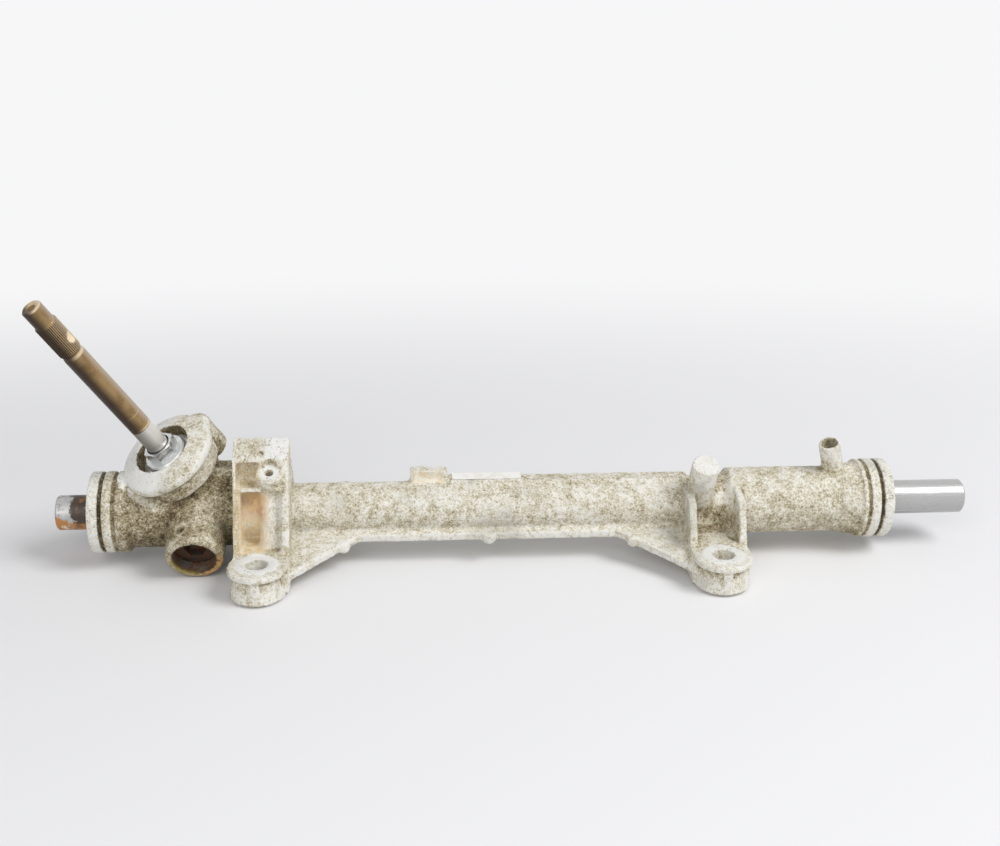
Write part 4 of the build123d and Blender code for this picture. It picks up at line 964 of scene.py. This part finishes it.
# Painted shade laid over the colour, lighter on the silver seat.
shaft_tone = tint(shaft_tree, shaft_shaded, shaft_tone, shaft_shade_colour)
shaft_tone = tint(shaft_tree, shaft_notch, shaft_tone, shaft_gold)
shaft_metal = spread(shaft_tree, shaft_ground, low=0.0, high=1.0, at_low=brown_metal, at_high=silver_metal)
shaft_rough = spread(shaft_tree, shaft_fine, low=0.3, high=0.7, at_low=0.28, at_high=0.46)
shaft_tree.links.new(shaft_metal, shaft_shader.inputs["Metallic"])
finish_surface(shaft_tree, shaft_shader, shaft_tone, shaft_rough, shaft_fine, shaft_bump)
dress("pinion_shaft", shaft_finish)

# Pinion plug and its seal: a plated steel plug screwed down on the bearing, a thin hexagon round the seal.
# The plating is dulled by white oxide; the seal is black nitrile rubber pressed into the hexagon.
plug_silver = (0.62, 0.63, 0.63)
plug_oxide = (0.80, 0.80, 0.77)
plug_metal = 0.85
plug_count, plug_edge = 260.0, (0.46, 0.66)
plug_roughness = (0.28, 0.6)
plug_bump = 0.00012


def clouded_metal(name, colour, cloud_colour, metallic, per_metre, cloud_edge, roughness, depth):
    """Metal with raised clouds of another colour; roughness is that of the metal and that of the clouds."""
    finish, tree, shader = plain_material(name, colour, roughness[0], metallic)
    noise = speckle(tree, object_place(tree), per_metre, detail=5.0, roughness=0.7)
    cloud = spread(tree, noise, *cloud_edge)
    clouded = tint(tree, cloud, colour, cloud_colour)
    finish_surface(tree, shader, clouded, spread(tree, cloud, 0.0, 1.0, *roughness), cloud, depth)
    return finish


plug_finish = clouded_metal("plated_plug_finish", plug_silver, plug_oxide, plug_metal, plug_count, plug_edge,
                            plug_roughness, plug_bump)
dress("pinion_plug", plug_finish)
dress("pinion_seal", rubber_finish)

# Rack guide: an alloy yoke lined with plastic, its damping ring and spring, and the adjuster plug behind it.
# They slide into the boss and the plug is screwed up the boss's thread. Salt has rusted the plug and mouth.
yoke_colour = (0.55, 0.55, 0.54)
yoke_roughness = 0.34
liner_colour = (0.11, 0.13, 0.11)
liner_stain = (0.05, 0.05, 0.045)
liner_roughness = 0.5
adjuster_steel = (0.085, 0.07, 0.055)
adjuster_rust = (0.16, 0.06, 0.02)
adjuster_metal = 0.4
adjuster_count, adjuster_edge = 210.0, (0.42, 0.62)
adjuster_roughness = (0.42, 0.85)
adjuster_bump = 0.0002
guide_thread_radius = 0.0140
guide_thread_depth = 0.0006
guide_thread_turns = 5.0
guide_thread_start = 0.0331
yoke_finish = ground_steel("turned_yoke_finish", yoke_colour, yoke_roughness, bearing_grease)
liner_finish = moulded("liner_plastic_finish", liner_colour, liner_stain, liner_roughness)
adjuster_finish = clouded_metal("rusty_adjuster_finish", adjuster_steel, adjuster_rust, adjuster_metal,
                                adjuster_count, adjuster_edge, adjuster_roughness, adjuster_bump)
dress("rack_guide_yoke", yoke_finish)
dress("yoke_liner", liner_finish)
dress("yoke_o_ring", rubber_finish)
dress("yoke_spring", snap_ring_finish)
dress("yoke_plug", adjuster_finish)
guide_ridge_start = guide_start + guide_thread_start * guide_way
guide_ridge_side = np.array([1.0, 0.0, 0.0])
guide_ridge = thread_ridge("guide_boss_thread", guide_ridge_start, guide_way, guide_ridge_side,
                           guide_thread_radius, guide_thread_depth, guide_thread_turns, adjuster_finish)
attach(guide_ridge, "housing")

# Bare sticker on the flat pad of the tube: a white paper label with nothing on it, stuck down and yellowed.
# It is cut a little smaller than the pad and lifts slightly at its corners.
sticker_low = np.array([-0.0238, 0.0562])
sticker_high = np.array([0.0228, 0.0668])
sticker_height = 0.0521
sticker_glue = 0.00006
sticker_lift = 0.00035
sticker_thickness = 0.00012
sticker_rows, sticker_columns = 41, 13
sticker_long_curl, sticker_short_curl = 12, 6
sticker_white = (0.88, 0.87, 0.83)
sticker_yellow = (0.72, 0.67, 0.55)
sticker_roughness = 0.5
sticker_long = np.linspace(0, 1, sticker_rows)
sticker_short = np.linspace(0, 1, sticker_columns)
sticker_u, sticker_v = np.meshgrid(sticker_long, sticker_short, indexing="ij")
sticker_corner = np.abs(2 * sticker_u - 1) ** sticker_long_curl
sticker_corner = sticker_corner * np.abs(2 * sticker_v - 1) ** sticker_short_curl
sticker_points = np.stack([
    sticker_low[0] + sticker_u * (sticker_high[0] - sticker_low[0]),
    sticker_low[1] + sticker_v * (sticker_high[1] - sticker_low[1]),
    sticker_height + sticker_glue + sticker_lift * sticker_corner], axis=-1)
sticker = grid_object("bare_sticker", sticker_points)
sticker_wall = sticker.modifiers.new("paper", "SOLIDIFY")
sticker_wall.thickness = sticker_thickness
sticker_wall.offset = 1.0
sticker_finish = moulded("sticker_paper_finish", sticker_white, sticker_yellow, sticker_roughness)
sticker.data.materials.append(sticker_finish)
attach(sticker, "housing")
